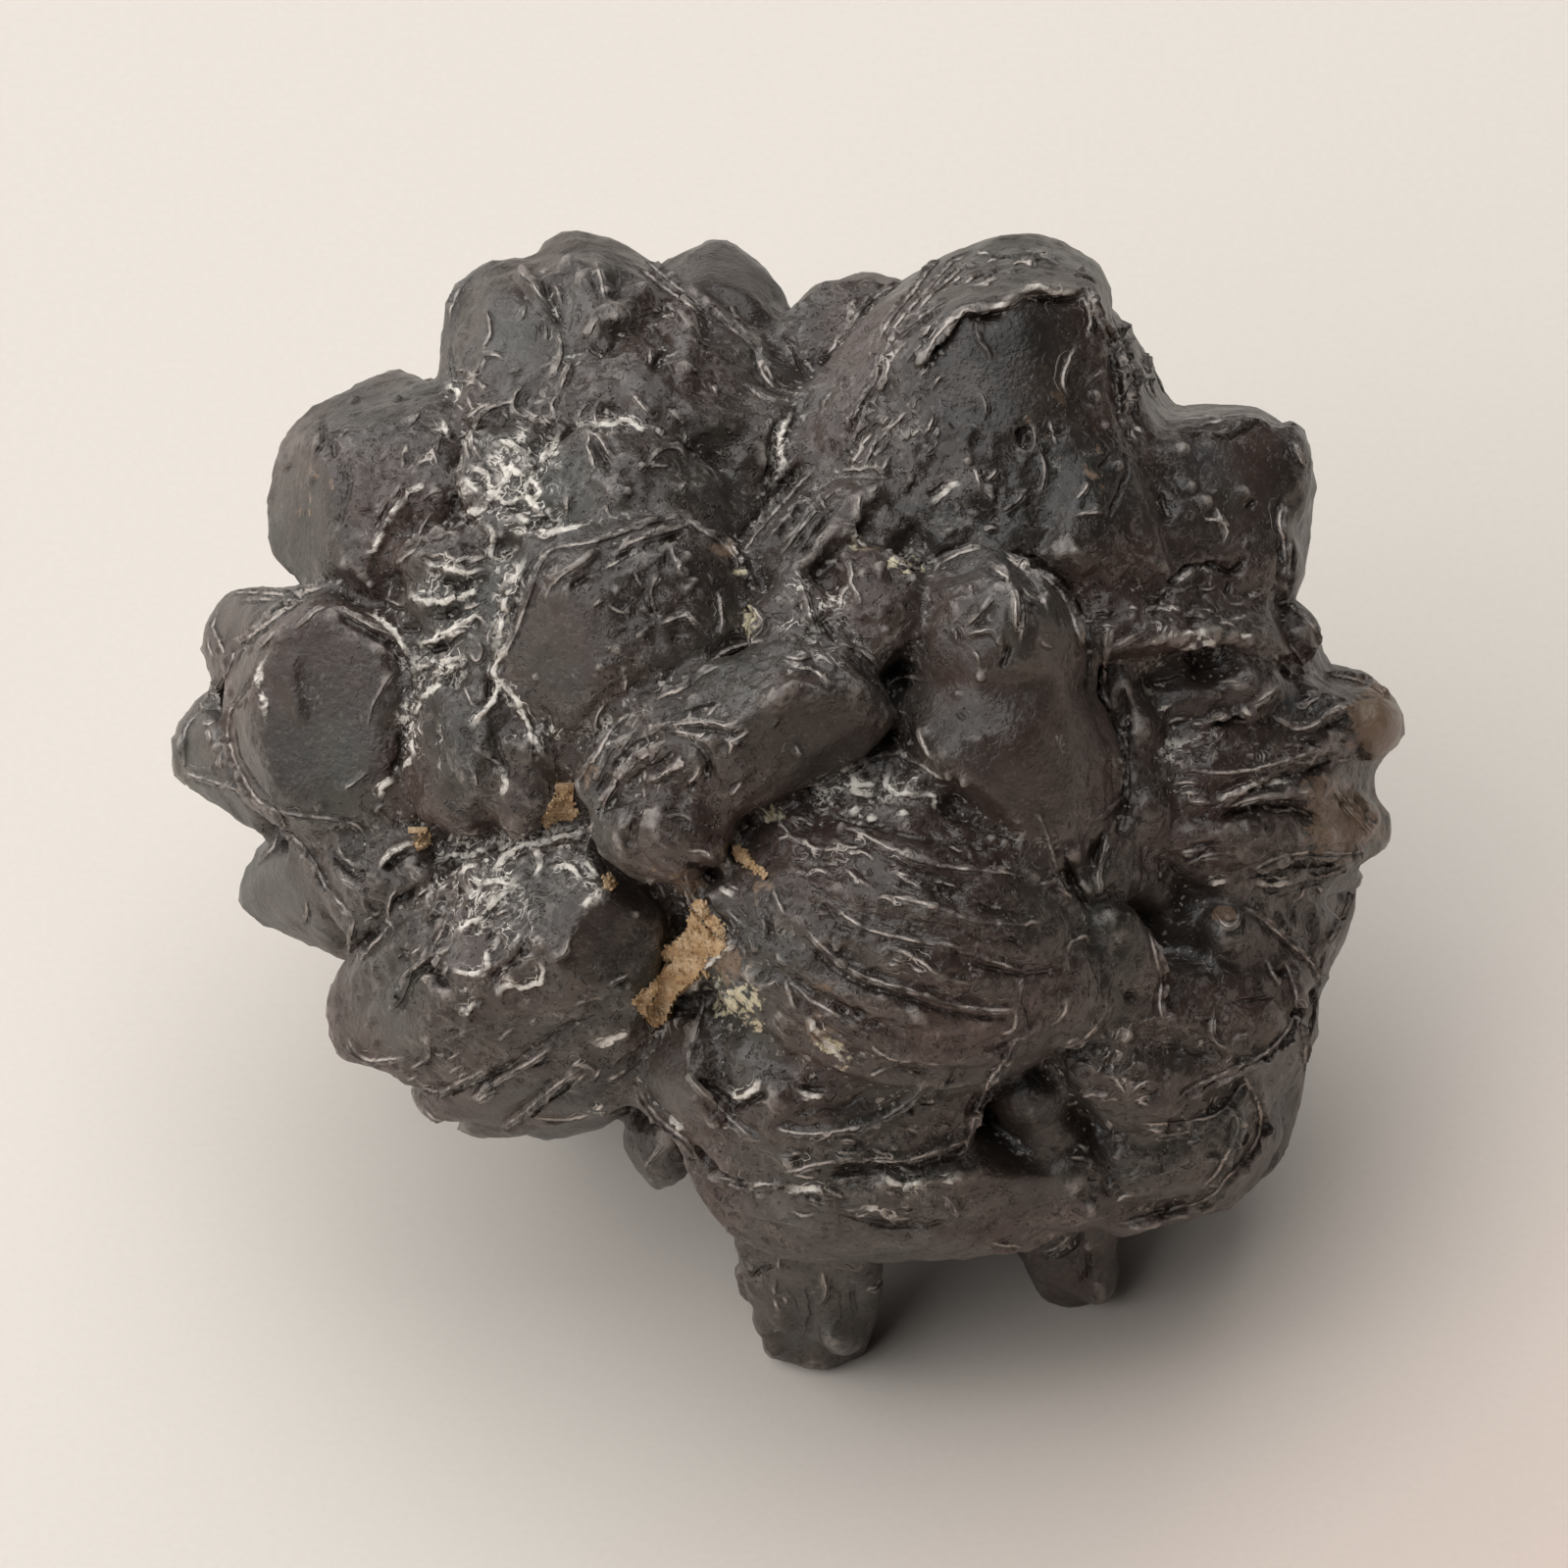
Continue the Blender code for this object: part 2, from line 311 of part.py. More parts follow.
def hull_object(name, points):
    """A closed convex solid round the points."""
    mesh = bpy.data.meshes.new(name)
    bm = bmesh.new()
    corners = [bm.verts.new(point) for point in points]
    hull = bmesh.ops.convex_hull(bm, input=corners)
    spare = set(hull["geom_interior"] + hull["geom_unused"]) & set(bm.verts)
    bmesh.ops.delete(bm, geom=list(spare), context="VERTS")
    bmesh.ops.recalc_face_normals(bm, faces=bm.faces)
    bm.to_mesh(mesh)
    bm.free()
    return link(name, mesh)


def link(name, mesh):
    obj = bpy.data.objects.new(name, mesh)
    bpy.context.scene.collection.objects.link(obj)
    return obj


def crystal(name, corners, outward=Vector((0, 0, 1))):
    """A crystal with its cap, its worn rim and its root, from corners in face mm."""
    chance = random.Random(name)
    corners = [uneven(Vector(corner), chance) for corner in corners]
    middle = sum(corners, Vector()) / len(corners)
    cap = [middle + CAP_SHARE * (corner - middle) for corner in corners]
    rim = [middle + RIM_SHARE * (corner - middle) - RIM_DROP * outward for corner in corners]
    root = [ROOT_SHARE * corner for corner in corners]
    pose = face_to_world()
    points = [pose @ point for point in cap + rim + root]
    for point in points:
        point.z = max(point.z, (GROUND_CLEARANCE + chance.uniform(0, UNEVENNESS)) * MM)
    return hull_object(name, points)


def uneven(point, chance):
    return point + Vector([chance.uniform(-UNEVENNESS, UNEVENNESS) for _ in range(3)])


def face_crystals():
    groups = (UPPER_LEFT, UPPER_RIGHT, MIDDLE, LEFT, LOWER)
    return [crystal(name, corners) for group in groups for name, corners in group.items()]


def heart_lobe(middle, half_widths):
    mesh = bpy.data.meshes.new("heart")
    bm = bmesh.new()
    bmesh.ops.create_icosphere(bm, subdivisions=2, radius=1.0)
    size = Matrix.Translation(middle) @ Matrix.Diagonal((*half_widths, 1))
    bmesh.ops.transform(bm, matrix=face_to_world() @ size, verts=bm.verts)
    bm.to_mesh(mesh)
    bm.free()
    return link("heart", mesh)


def ribbed_fan():
    """A lobe with ribs that run from pole to pole."""
    left, right = (Vector(pole) for pole in FAN_POLES)
    along = (right - left).normalized()
    outward = Vector((0, 0, 1))
    across = outward.cross(along).normalized()
    outward = along.cross(across).normalized()
    middle = (left + right) / 2
    half_length = (right - left).length / 2
    steps = 2 * FAN_RIBS
    pose = face_to_world()
    bm = bmesh.new()
    rings = []
    for row in range(1, FAN_RINGS):
        angle = math.pi * row / FAN_RINGS
        ring = []
        for step in range(steps):
            turn = 2 * math.pi * step / steps
            rib = FAN_RIB_HEIGHT * math.sin(angle) * (1 if step % 2 else -1)
            reach = math.sin(angle)
            point = middle - along * half_length * math.cos(angle)
            point += across * (FAN_HALF_WIDTH * reach + rib) * math.cos(turn)
            point += outward * (FAN_HALF_DEPTH * reach + rib) * math.sin(turn)
            ring.append(bm.verts.new(pose @ point))
        rings.append(ring)
    ends = (bm.verts.new(pose @ left), bm.verts.new(pose @ right))
    for step in range(steps):
        following = (step + 1) % steps
        bm.faces.new((ends[0], rings[0][following], rings[0][step]))
        bm.faces.new((ends[1], rings[-1][step], rings[-1][following]))
        for near, far in zip(rings, rings[1:]):
            bm.faces.new((near[step], near[following], far[following], far[step]))
    bmesh.ops.recalc_face_normals(bm, faces=bm.faces)
    mesh = bpy.data.meshes.new("ribbed fan")
    bm.to_mesh(mesh)
    bm.free()
    return link("ribbed fan", mesh)


def foot(name, tip, tip_widths, corners):
    """A crystal that reaches the ground and is worn flat there."""
    pose = face_to_world()
    points = []
    for corner in range(FOOT_CORNERS):
        turn = 2 * math.pi * (corner + 0.3) / FOOT_CORNERS
        side = (tip_widths[0] * math.cos(turn), tip_widths[1] * math.sin(turn))
        points.append(Vector((tip[0] + side[0], tip[1] + side[1], 0)) * MM)
    for corner in corners:
        points.append(pose @ Vector(corner))
        points.append(pose @ (ROOT_SHARE * Vector(corner)))
    return hull_object(name, points)


def hidden_crystals():
    """Crystals on the back, the sides and the underside, spread evenly and shaped like those on the face."""
    chance = random.Random(HIDDEN_SEED)
    golden_turn = math.pi * (3 - math.sqrt(5))
    grown = []
    for number in range(HIDDEN_CRYSTALS):
        out = 1 - 2 * (number + 0.5) / HIDDEN_CRYSTALS
        spread = math.sqrt(1 - out * out)
        turn = number * golden_turn
        facing = Vector((spread * math.cos(turn), spread * math.sin(turn), out))
        under = facing.y + facing.z < -0.85
        if out < -0.02 or (under and out < 0.35):
            make = blade_pack if number % 6 == 1 else hidden_crystal
            grown += make(f"hidden {number}", facing, chance)
    return grown


def oval_reach(facing):
    """How far from the middle the oval of the hidden crystals lies in this direction, seen from the front."""
    spread = math.hypot(facing.x, facing.y)
    across, up = facing.x / spread, facing.y / spread
    wide, high = HIDDEN_LIMIT
    radius = 1 / math.hypot(across / wide, up / high)
    radius += across * HIDDEN_LIMIT_MIDDLE[0] + up * HIDDEN_LIMIT_MIDDLE[1]
    dip = max(0, across * HIDDEN_DIP_SIDE[0] + up * HIDDEN_DIP_SIDE[1])
    return radius - HIDDEN_DIP * dip ** 4


def hidden_frame(facing, chance):
    """Where a hidden crystal grows to, and three directions: outward, along and across."""
    spread = math.hypot(facing.x, facing.y)
    reach = min(chance.uniform(20.5, 23.0), oval_reach(facing) / spread)
    lean = Vector([chance.uniform(-0.3, 0.3) for _ in range(3)])
    axis = (facing + lean).normalized()
    side = axis.orthogonal().normalized()
    side.rotate(Matrix.Rotation(chance.uniform(0, math.pi), 3, axis))
    return facing * reach, axis, side, axis.cross(side)


def hidden_crystal(name, facing, chance):
    top, axis, side, across = hidden_frame(facing, chance)
    long_side = chance.uniform(5.4, 7.6)
    short_side = chance.uniform(3.8, 5.4)
    corners = []
    count = chance.choice((5, 6, 7))
    for corner in range(count):
        turn = 2 * math.pi * (corner + chance.uniform(-0.25, 0.25)) / count
        flat = side * long_side * math.cos(turn) + across * short_side * math.sin(turn)
        corners.append(top + flat - axis * chance.uniform(2.6, 4.0))
        corners.append(top + flat * chance.uniform(0.55, 0.8) - axis * chance.uniform(0, 0.9))
    return [crystal(name, corners, facing)]


def blade_pack(name, facing, chance):
    """Parallel blades side by side, the middle ones reaching further."""
    top, axis, side, across = hidden_frame(facing, chance)
    length = chance.uniform(5.4, 7.0)
    blades = []
    for number in range(3):
        place = number - 1
        ridge = top + across * place * BLADE_SPACING - axis * (0.5 * place * place + chance.uniform(0, 0.9))
        ridge += side * chance.uniform(-1.4, 1.4)
        corners = []
        for turn, drop in ((-1.0, 3.0), (-0.6, 0.5), (0.5, 0.2), (1.0, 2.6)):
            corners.append(ridge + side * turn * length - axis * drop + across * 0.4)
            corners.append(ridge + side * turn * length - axis * (drop + 1.4) - across * 2.0)
        blades.append(crystal(f"{name} blade {number}", corners, facing))
    return blades


def grow_together(body, others):
    """Joins the crystals into one closed body."""
    group = bpy.data.collections.new("crystals")
    bpy.context.scene.collection.children.link(group)
    for other in others:
        group.objects.link(other)
    union = body.modifiers.new("grown together", "BOOLEAN")
    union.operation = "UNION"
    union.solver = "EXACT"
    union.operand_type = "COLLECTION"
    union.collection = group
    depsgraph = bpy.context.evaluated_depsgraph_get()
    mesh = bpy.data.meshes.new_from_object(body.evaluated_get(depsgraph))
    body.modifiers.clear()
    fill_hollows(mesh)
    body.data = mesh
    for other in others:
        bpy.data.objects.remove(other, do_unlink=True)
    bpy.data.collections.remove(group)


def fill_hollows(mesh):
    """Keeps only the outer skin, so that no hollow is left between the crystals' roots."""
    bm = bmesh.new()
    bm.from_mesh(mesh)
    left = set(bm.faces)
    shells = []
    while left:
        shell, edge = set(), [left.pop()]
        while edge:
            face = edge.pop()
            shell.add(face)
            near = {other for side in face.edges for other in side.link_faces} & left
            left -= near
            edge.extend(near)
        shells.append(shell)
    outer = max(shells, key=lambda shell: max(vert.co.length for face in shell for vert in face.verts))
    spare = [face for shell in shells if shell is not outer for face in shell]
    bmesh.ops.delete(bm, geom=spare, context="FACES")
    bm.to_mesh(mesh)
    bm.free()


def stone_material():
    material = bpy.data.materials.new("stone")
    material.use_nodes = True
    shader = material.node_tree.nodes["Principled BSDF"]
    shader.inputs["Base Color"].default_value = STONE_COLOUR
    shader.inputs["Roughness"].default_value = STONE_ROUGHNESS
    shader.inputs["Metallic"].default_value = STONE_METALLIC
    return material


def crystal_cluster():
    body, *others = [heart_lobe(*lobe) for lobe in HEART_LOBES]
    others += face_crystals() + hidden_crystals() + [ribbed_fan()]
    others += [foot(name, *sizes) for name, sizes in FEET.items()]
    grow_together(body, others)
    body.name = "crystal_cluster"
    body.data.name = "crystal_cluster"
    body.data.materials.clear()
    body.data.materials.append(stone_material())
    return body


empty_scene()
crystal_cluster()
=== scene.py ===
import math
import random

import bmesh
import bpy
import numpy as np
from mathutils import Euler, Matrix, Vector
from mathutils.bvhtree import BVHTree


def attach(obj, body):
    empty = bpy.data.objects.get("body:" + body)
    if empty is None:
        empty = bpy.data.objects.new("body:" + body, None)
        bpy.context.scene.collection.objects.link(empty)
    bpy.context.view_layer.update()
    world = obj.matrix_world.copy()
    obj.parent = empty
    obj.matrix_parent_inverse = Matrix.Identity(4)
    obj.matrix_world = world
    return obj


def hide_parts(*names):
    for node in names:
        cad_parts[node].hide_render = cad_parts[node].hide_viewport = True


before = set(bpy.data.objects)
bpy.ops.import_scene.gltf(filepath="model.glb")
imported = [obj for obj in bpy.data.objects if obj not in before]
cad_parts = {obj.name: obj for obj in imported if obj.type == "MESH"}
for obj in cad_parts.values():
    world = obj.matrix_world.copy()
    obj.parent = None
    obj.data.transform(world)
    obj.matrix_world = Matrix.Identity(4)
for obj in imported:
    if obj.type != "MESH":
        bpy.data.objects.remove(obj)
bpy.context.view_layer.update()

mm = 0.001

# the stone's face is looked at from 45 degrees above; the carving below is placed by pixels of that picture
view = {
    "tilt": math.radians(45),
    "middle": Vector((0, -1.0, 20.0)) * mm,  # point of the stone in the middle of the face
    "middlePixel": (801.0, 816.0),
    "pixel": 0.04 * mm,  # size of a picture pixel at the middle
    "distance": 0.80,
    "imageSize": 1599,
}
faceUp = Vector((0, math.cos(view["tilt"]), math.sin(view["tilt"])))
faceOut = Vector((0, -math.sin(view["tilt"]), math.cos(view["tilt"])))
faceRight = Vector((1, 0, 0))
eye = view["middle"] + faceOut * view["distance"]


def pick(*objects):
    bpy.ops.object.select_all(action="DESELECT")
    for obj in objects:
        obj.select_set(True)
    bpy.context.view_layer.objects.active = objects[-1]


def applyModifier(obj, kind, **values):
    pick(obj)
    modifier = obj.modifiers.new(kind.lower(), kind)
    for name, value in values.items():
        setattr(modifier, name, value)
    bpy.ops.object.modifier_apply(modifier=modifier.name)


def readRows(rows, name, width=3, kind=np.float32):
    # one row of numbers for each vertex, edge or face
    flat = np.zeros(len(rows) * width, kind)
    rows.foreach_get(name, flat)
    return flat.reshape(-1, width)


def vertexPlaces(obj):
    return readRows(obj.data.vertices, "co").astype(float)


def vertexNormals(obj):
    return readRows(obj.data.vertex_normals, "vector").astype(float)


def moveVertices(obj, places):
    obj.data.vertices.foreach_set("co", places.astype(np.float32).ravel())
    obj.data.update()


def surfaceTree(obj):
    return BVHTree.FromObject(obj, bpy.context.evaluated_depsgraph_get())


def picturePixels(places):
    # where each place shows in the picture
    offset = places - np.array(view["middle"])
    nearness = view["distance"] / (view["distance"] - offset @ np.array(faceOut)) / view["pixel"]
    across = view["middlePixel"][0] + offset @ np.array(faceRight) * nearness
    down = view["middlePixel"][1] - offset @ np.array(faceUp) * nearness
    return np.stack([across, down], 1)


def placeAt(x, y, depth):
    # the place that shows at a pixel, at a depth towards the eye in metres
    nearness = 1 - depth / view["distance"]
    across = (x - view["middlePixel"][0]) * view["pixel"] * nearness
    up = (view["middlePixel"][1] - y) * view["pixel"] * nearness
    return view["middle"] + faceRight * across + faceUp * up + faceOut * depth


def throughPixel(tree, x, y):
    # the place and normal that the picture shows at a pixel
    place, normal, face, reach = tree.ray_cast(eye, (placeAt(x, y, 0) - eye).normalized())
    return place, normal


def softStep(low, high, value):
    share = np.clip((value - low) / (high - low), 0, 1)
    return share * share * (3 - 2 * share)


# carving, region by region: (kind, width in picture pixels, height in mm, then each stroke as a list
# of x and y, pixel after pixel along its way)
# ridge and dusty stand up, groove and pit go in, lip drops away on the right of the way it runs,
# swell is a low round rise, and knob is a small round one at each of its pixels
carving = {}
carving["top left lobes"] = [
    ("ridge", 20, 0.34, [528, 276, 542, 288, 550, 300, 558, 308]),
    ("groove", 20, 0.3, [552, 288, 560, 305, 568, 320, 574, 334]),
    ("knob", 34, 0.45, [582, 272, 598, 286]),
    ("pit", 34, 0.65, [628, 272, 630, 288, 628, 306]),
    ("ridge", 14, 0.2, [608, 266, 613, 288, 618, 312]),
    ("knob", 24, 0.4, [656, 298]),
    ("swell", 32, 0.45, [604, 318, 630, 326, 634, 344]),
    ("pit", 40, 0.75, [656, 330, 670, 340, 678, 356]),
    ("groove", 14, 0.22, [684, 350, 674, 364, 665, 380]),
    ("swell", 30, 0.5, [690, 305, 698, 330, 700, 360, 690, 395]),
    ("pit", 34, 0.6, [716, 318, 724, 335, 722, 350]),
    ("ridge", 14, 0.22, [660, 266, 685, 288, 705, 303, 735, 328, 760, 345, 776, 366, 788, 388]),
    ("ridge", 12, 0.18, [655, 274, 680, 295, 700, 309, 716, 322]),
    ("groove", 10, 0.15, [662, 273, 690, 296, 712, 313, 738, 334]),
    ("dusty", 11, 0.16, [602, 430, 620, 432, 640, 428, 652, 436, 668, 438, 678, 446]),
    ("ridge", 12, 0.16, [605, 440, 613, 449, 619, 460, 626, 470]),
    ("ridge", 12, 0.14, [597, 452, 603, 465, 606, 478]),
    ("groove", 12, 0.14, [606, 447, 616, 466, 622, 486]),
    ("ridge", 13, 0.18, [582, 369, 576, 384, 572, 396]),
    ("ridge", 9, 0.12, [569, 338, 572, 355, 565, 372, 558, 388]),
    ("ridge", 10, 0.14, [536, 391, 525, 402, 523, 415, 536, 426, 556, 431]),
    ("groove", 9, 0.12, [545, 398, 534, 408, 538, 418]),
    ("ridge", 10, 0.14, [569, 401, 562, 410, 566, 422], [645, 402, 653, 412, 661, 421],
        [682, 417, 690, 425, 699, 434], [756, 388, 770, 400, 785, 408, 802, 415]),
    ("ridge", 9, 0.12, [772, 366, 780, 384, 791, 396, 815, 402]),
    ("dusty", 14, 0.2, [807, 419, 800, 435, 795, 450, 798, 466, 795, 480, 789, 498]),
    ("groove", 14, 0.25, [797, 424, 788, 445, 787, 470, 782, 495]),
    ("groove", 10, 0.14, [599, 349, 607, 361, 618, 362, 629, 351]),
    ("ridge", 9, 0.12, [802, 352, 808, 364, 812, 374]),
    ("groove", 9, 0.12, [795, 345, 804, 348, 812, 354]),
]
carving["shoulder"] = [
    ("groove", 8, 0.14, [331, 424, 332, 449, 325, 458, 321, 471]),
    ("groove", 8, 0.12, [340, 449, 342, 465, 348, 460]),
    ("ridge", 8, 0.1, [346, 447, 352, 438, 357, 436], [288, 476, 297, 474]),
    ("ridge", 9, 0.13, [494, 316, 500, 328, 498, 345, 491, 355], [489, 366, 485, 380, 474, 396]),
    ("ridge", 16, 0.16, [477, 283, 464, 303, 458, 326]),
    ("groove", 10, 0.14, [459, 350, 461, 372, 466, 392]),
    ("dusty", 12, 0.12, [455, 392, 464, 397, 468, 406]),
    ("ridge", 10, 0.14, [500, 410, 486, 417, 476, 427],
        [524, 408, 500, 416, 487, 430, 481, 446, 486, 461, 493, 469]),
    ("ridge", 9, 0.12, [471, 436, 475, 455, 479, 470]),
    ("dusty", 10, 0.15, [449, 427, 455, 440, 460, 449]),
    ("ridge", 9, 0.12, [440, 455, 446, 472], [441, 437, 452, 441, 460, 446]),
    ("dusty", 14, 0.25, [477, 476, 490, 477, 498, 489, 501, 504, 495, 515, 480, 523, 466, 524]),
    ("dusty", 10, 0.16, [474, 486, 481, 495, 489, 500]),
    ("pit", 22, 0.3, [486, 490, 490, 498]),
    ("dusty", 12, 0.18, [411, 511, 402, 521, 394, 535, 386, 553, 380, 561, 371, 563]),
    ("dusty", 9, 0.12, [431, 493, 420, 501]),
    ("groove", 12, 0.15, [404, 506, 392, 524, 380, 544]),
    ("ridge", 9, 0.1, [412, 490, 404, 502, 396, 512]),
    ("knob", 16, 0.12, [362, 408, 406, 408, 352, 575, 318, 488]),
    ("groove", 12, 0.12, [352, 468, 358, 490, 352, 515, 344, 540]),
]
carving["great block"] = [
    ("ridge", 13, 0.2, [968, 303, 950, 315, 930, 330, 914, 342, 904, 356]),
    ("ridge", 13, 0.22, [972, 322, 960, 335, 950, 350, 942, 362, 934, 378]),
    ("ridge", 13, 0.2, [927, 347, 912, 356, 905, 370, 903, 385, 895, 400]),
    ("ridge", 13, 0.18, [893, 404, 888, 415, 880, 430, 875, 440]),
    ("groove", 12, 0.18, [960, 314, 938, 332, 920, 348, 910, 358, 898, 378, 892, 392]),
    ("groove", 11, 0.15, [885, 408, 878, 420, 872, 432]),
    ("ridge", 12, 0.14, [924, 420, 908, 436, 898, 447], [948, 292, 930, 312, 915, 330, 905, 348]),
    ("ridge", 10, 0.14, [922, 287, 905, 295, 889, 305, 875, 320, 867, 334]),
    ("ridge", 9, 0.1, [990, 257, 970, 268, 955, 284, 942, 299]),
    ("ridge", 10, 0.14, [1048, 266, 1065, 262, 1082, 269]),
    ("pit", 14, 0.22, [992, 284, 1003, 281, 1013, 277]),
    ("ridge", 9, 0.16, [991, 291, 1003, 289, 1014, 282]),
    ("pit", 9, 0.12, [977, 288]),
    ("ridge", 11, 0.18, [944, 366, 950, 350, 963, 333, 985, 315, 1000, 315, 1012, 313, 1030, 308]),
    ("dusty", 12, 0.14, [1012, 313, 1024, 311, 1030, 309]),
    ("dusty", 14, 0.14, [1044, 296, 1062, 292, 1076, 298, 1096, 297]),
    ("groove", 14, 0.2, [1040, 305, 1060, 304, 1080, 305, 1103, 303]),
    ("groove", 12, 0.14, [985, 322, 1000, 323, 1030, 317]),
    ("ridge", 10, 0.14, [1104, 298, 1112, 325, 1108, 346], [1114, 297, 1122, 320, 1128, 346]),
    ("groove", 9, 0.12, [1109, 300, 1117, 325, 1116, 342]),
    ("groove", 10, 0.14, [1098, 278, 1108, 284, 1116, 286]),
    ("ridge", 10, 0.1, [995, 335, 1000, 350, 1006, 356, 1011, 366]),
    ("ridge", 10, 0.12, [1097, 352, 1089, 370, 1084, 388, 1088, 402]),
    ("lip", 26, 0.42, [936, 378, 948, 352, 963, 334, 984, 319, 1000, 316, 1030, 311, 1046, 302, 1075, 301,
        1102, 302]),
    ("ridge", 14, 0.28, [1108, 292, 1118, 322, 1130, 346, 1140, 366, 1147, 390, 1149, 422]),
    ("ridge", 10, 0.16, [960, 262, 946, 276, 932, 296, 918, 312, 906, 328, 896, 346],
        [903, 356, 896, 370, 892, 388, 884, 400, 874, 418, 866, 436]),
    ("ridge", 9, 0.14, [985, 268, 966, 286, 950, 300, 936, 316]),
    ("ridge", 9, 0.12, [1000, 402, 1006, 414, 1003, 428]),
    ("pit", 22, 0.3, [1040, 434, 1044, 446, 1042, 458]),
    ("ridge", 10, 0.12, [1126, 376, 1116, 384, 1107, 392]),
    ("knob", 16, 0.14, [1116, 404, 1109, 416]),
    ("pit", 26, 0.22, [1044, 436, 1046, 450]),
    ("ridge", 12, 0.12, [1052, 430, 1056, 448, 1050, 466]),
    ("dusty", 12, 0.2, [949, 512, 960, 504, 970, 495, 980, 491]),
    ("groove", 10, 0.14, [944, 506, 956, 500, 966, 490]),
    ("ridge", 16, 0.14, [1022, 520, 1036, 511, 1047, 498]),
    ("knob", 12, 0.12, [1010, 497]),
    ("ridge", 9, 0.12, [858, 480, 875, 478, 892, 477, 901, 488]),
    ("knob", 10, 0.12, [889, 363, 860, 394, 930, 490, 987, 470, 897, 478]),
    ("swell", 60, 0.35, [970, 440, 990, 470, 985, 520]),
    ("ridge", 9, 0.08, [1058, 452, 1066, 480, 1060, 505]),
    ("knob", 14, 0.14, [1116, 518, 1126, 434, 1140, 475]),
    ("groove", 14, 0.14, [1144, 450, 1150, 476, 1140, 505, 1128, 530]),
    ("knob", 10, 0.12, [968, 541, 880, 585, 1096, 562, 1070, 578]),
]
carving["right of the great block"] = [
    ("ridge", 15, 0.3, [1140, 322, 1143, 345, 1149, 368, 1156, 385, 1158, 404]),
    ("ridge", 13, 0.25, [1136, 350, 1144, 372, 1149, 396, 1150, 422]),
    ("groove", 12, 0.22, [1146, 335, 1151, 352, 1158, 372]),
    ("groove", 14, 0.25, [1132, 356, 1138, 380, 1143, 410, 1140, 430]),
    ("ridge", 12, 0.16, [1165, 350, 1170, 375, 1172, 398, 1182, 412]),
    ("groove", 10, 0.16, [1174, 362, 1180, 385, 1188, 404]),
    ("dusty", 8, 0.1, [1156, 436, 1164, 438]),
    ("ridge", 10, 0.14, [1222, 434, 1236, 430, 1252, 428]),
    ("ridge", 9, 0.12, [1244, 441, 1258, 441]),
    ("groove", 12, 0.2, [1212, 446, 1230, 443, 1245, 446, 1256, 447, 1268, 440, 1288, 432]),
    ("ridge", 9, 0.16, [1320, 452, 1326, 468, 1333, 476]),
    ("groove", 9, 0.14, [1314, 452, 1320, 468, 1325, 476]),
    ("ridge", 12, 0.2, [1309, 508, 1305, 530, 1309, 552, 1311, 572, 1307, 600]),
    ("groove", 10, 0.2, [1302, 545, 1305, 566, 1303, 590]),
    ("groove", 10, 0.18, [1317, 552, 1320, 575, 1314, 602]),
    ("groove", 16, 0.3, [1188, 598, 1200, 590, 1212, 578, 1228, 576, 1242, 578, 1256, 583, 1265, 576,
        1272, 566]),
    ("dusty", 9, 0.16, [1202, 593, 1208, 587, 1215, 580]),
    ("dusty", 8, 0.12, [1224, 581, 1233, 579]),
    ("knob", 20, 0.14, [1214, 496, 1230, 510, 1206, 457, 1268, 502]),
    ("groove", 12, 0.16, [1182, 500, 1188, 518, 1194, 530]),
    ("ridge", 11, 0.12, [1240, 516, 1246, 530, 1252, 540, 1246, 556]),
    ("groove", 10, 0.14, [1268, 516, 1276, 514, 1282, 508], [1254, 590, 1252, 602, 1246, 606]),
]
carving["shelf and recess"] = [
    ("pit", 24, 0.35, [1208, 636, 1218, 637, 1228, 635]),
    ("dusty", 8, 0.14, [1206, 646, 1218, 645, 1230, 642]),
    ("ridge", 10, 0.14, [1208, 628, 1220, 628, 1230, 630]),
    ("dusty", 8, 0.14, [1203, 663, 1220, 658, 1234, 655, 1244, 666]),
    ("groove", 9, 0.14, [1210, 668, 1226, 662, 1240, 660]),
    ("groove", 8, 0.14, [1246, 650, 1248, 662, 1243, 672]),
    ("dusty", 8, 0.13, [1174, 656, 1190, 652]),
    ("dusty", 8, 0.12, [1264, 648, 1277, 648]),
    ("ridge", 9, 0.12, [1130, 662, 1146, 655, 1160, 647, 1167, 643], [1298, 668, 1308, 677, 1317, 684]),
    ("ridge", 8, 0.1, [1317, 658, 1323, 668, 1330, 678]),
    ("knob", 9, 0.1, [1222, 605, 1155, 628, 1156, 586, 1226, 598]),
    ("groove", 9, 0.1, [1165, 610, 1178, 614, 1190, 612]),
    ("ridge", 10, 0.12, [1310, 612, 1326, 626, 1341, 642, 1348, 662]),
    ("ridge", 14, 0.14, [1130, 640, 1127, 665, 1126, 690, 1122, 720]),
    ("groove", 60, 0.8, [1150, 700, 1190, 690, 1230, 680, 1262, 672]),
]
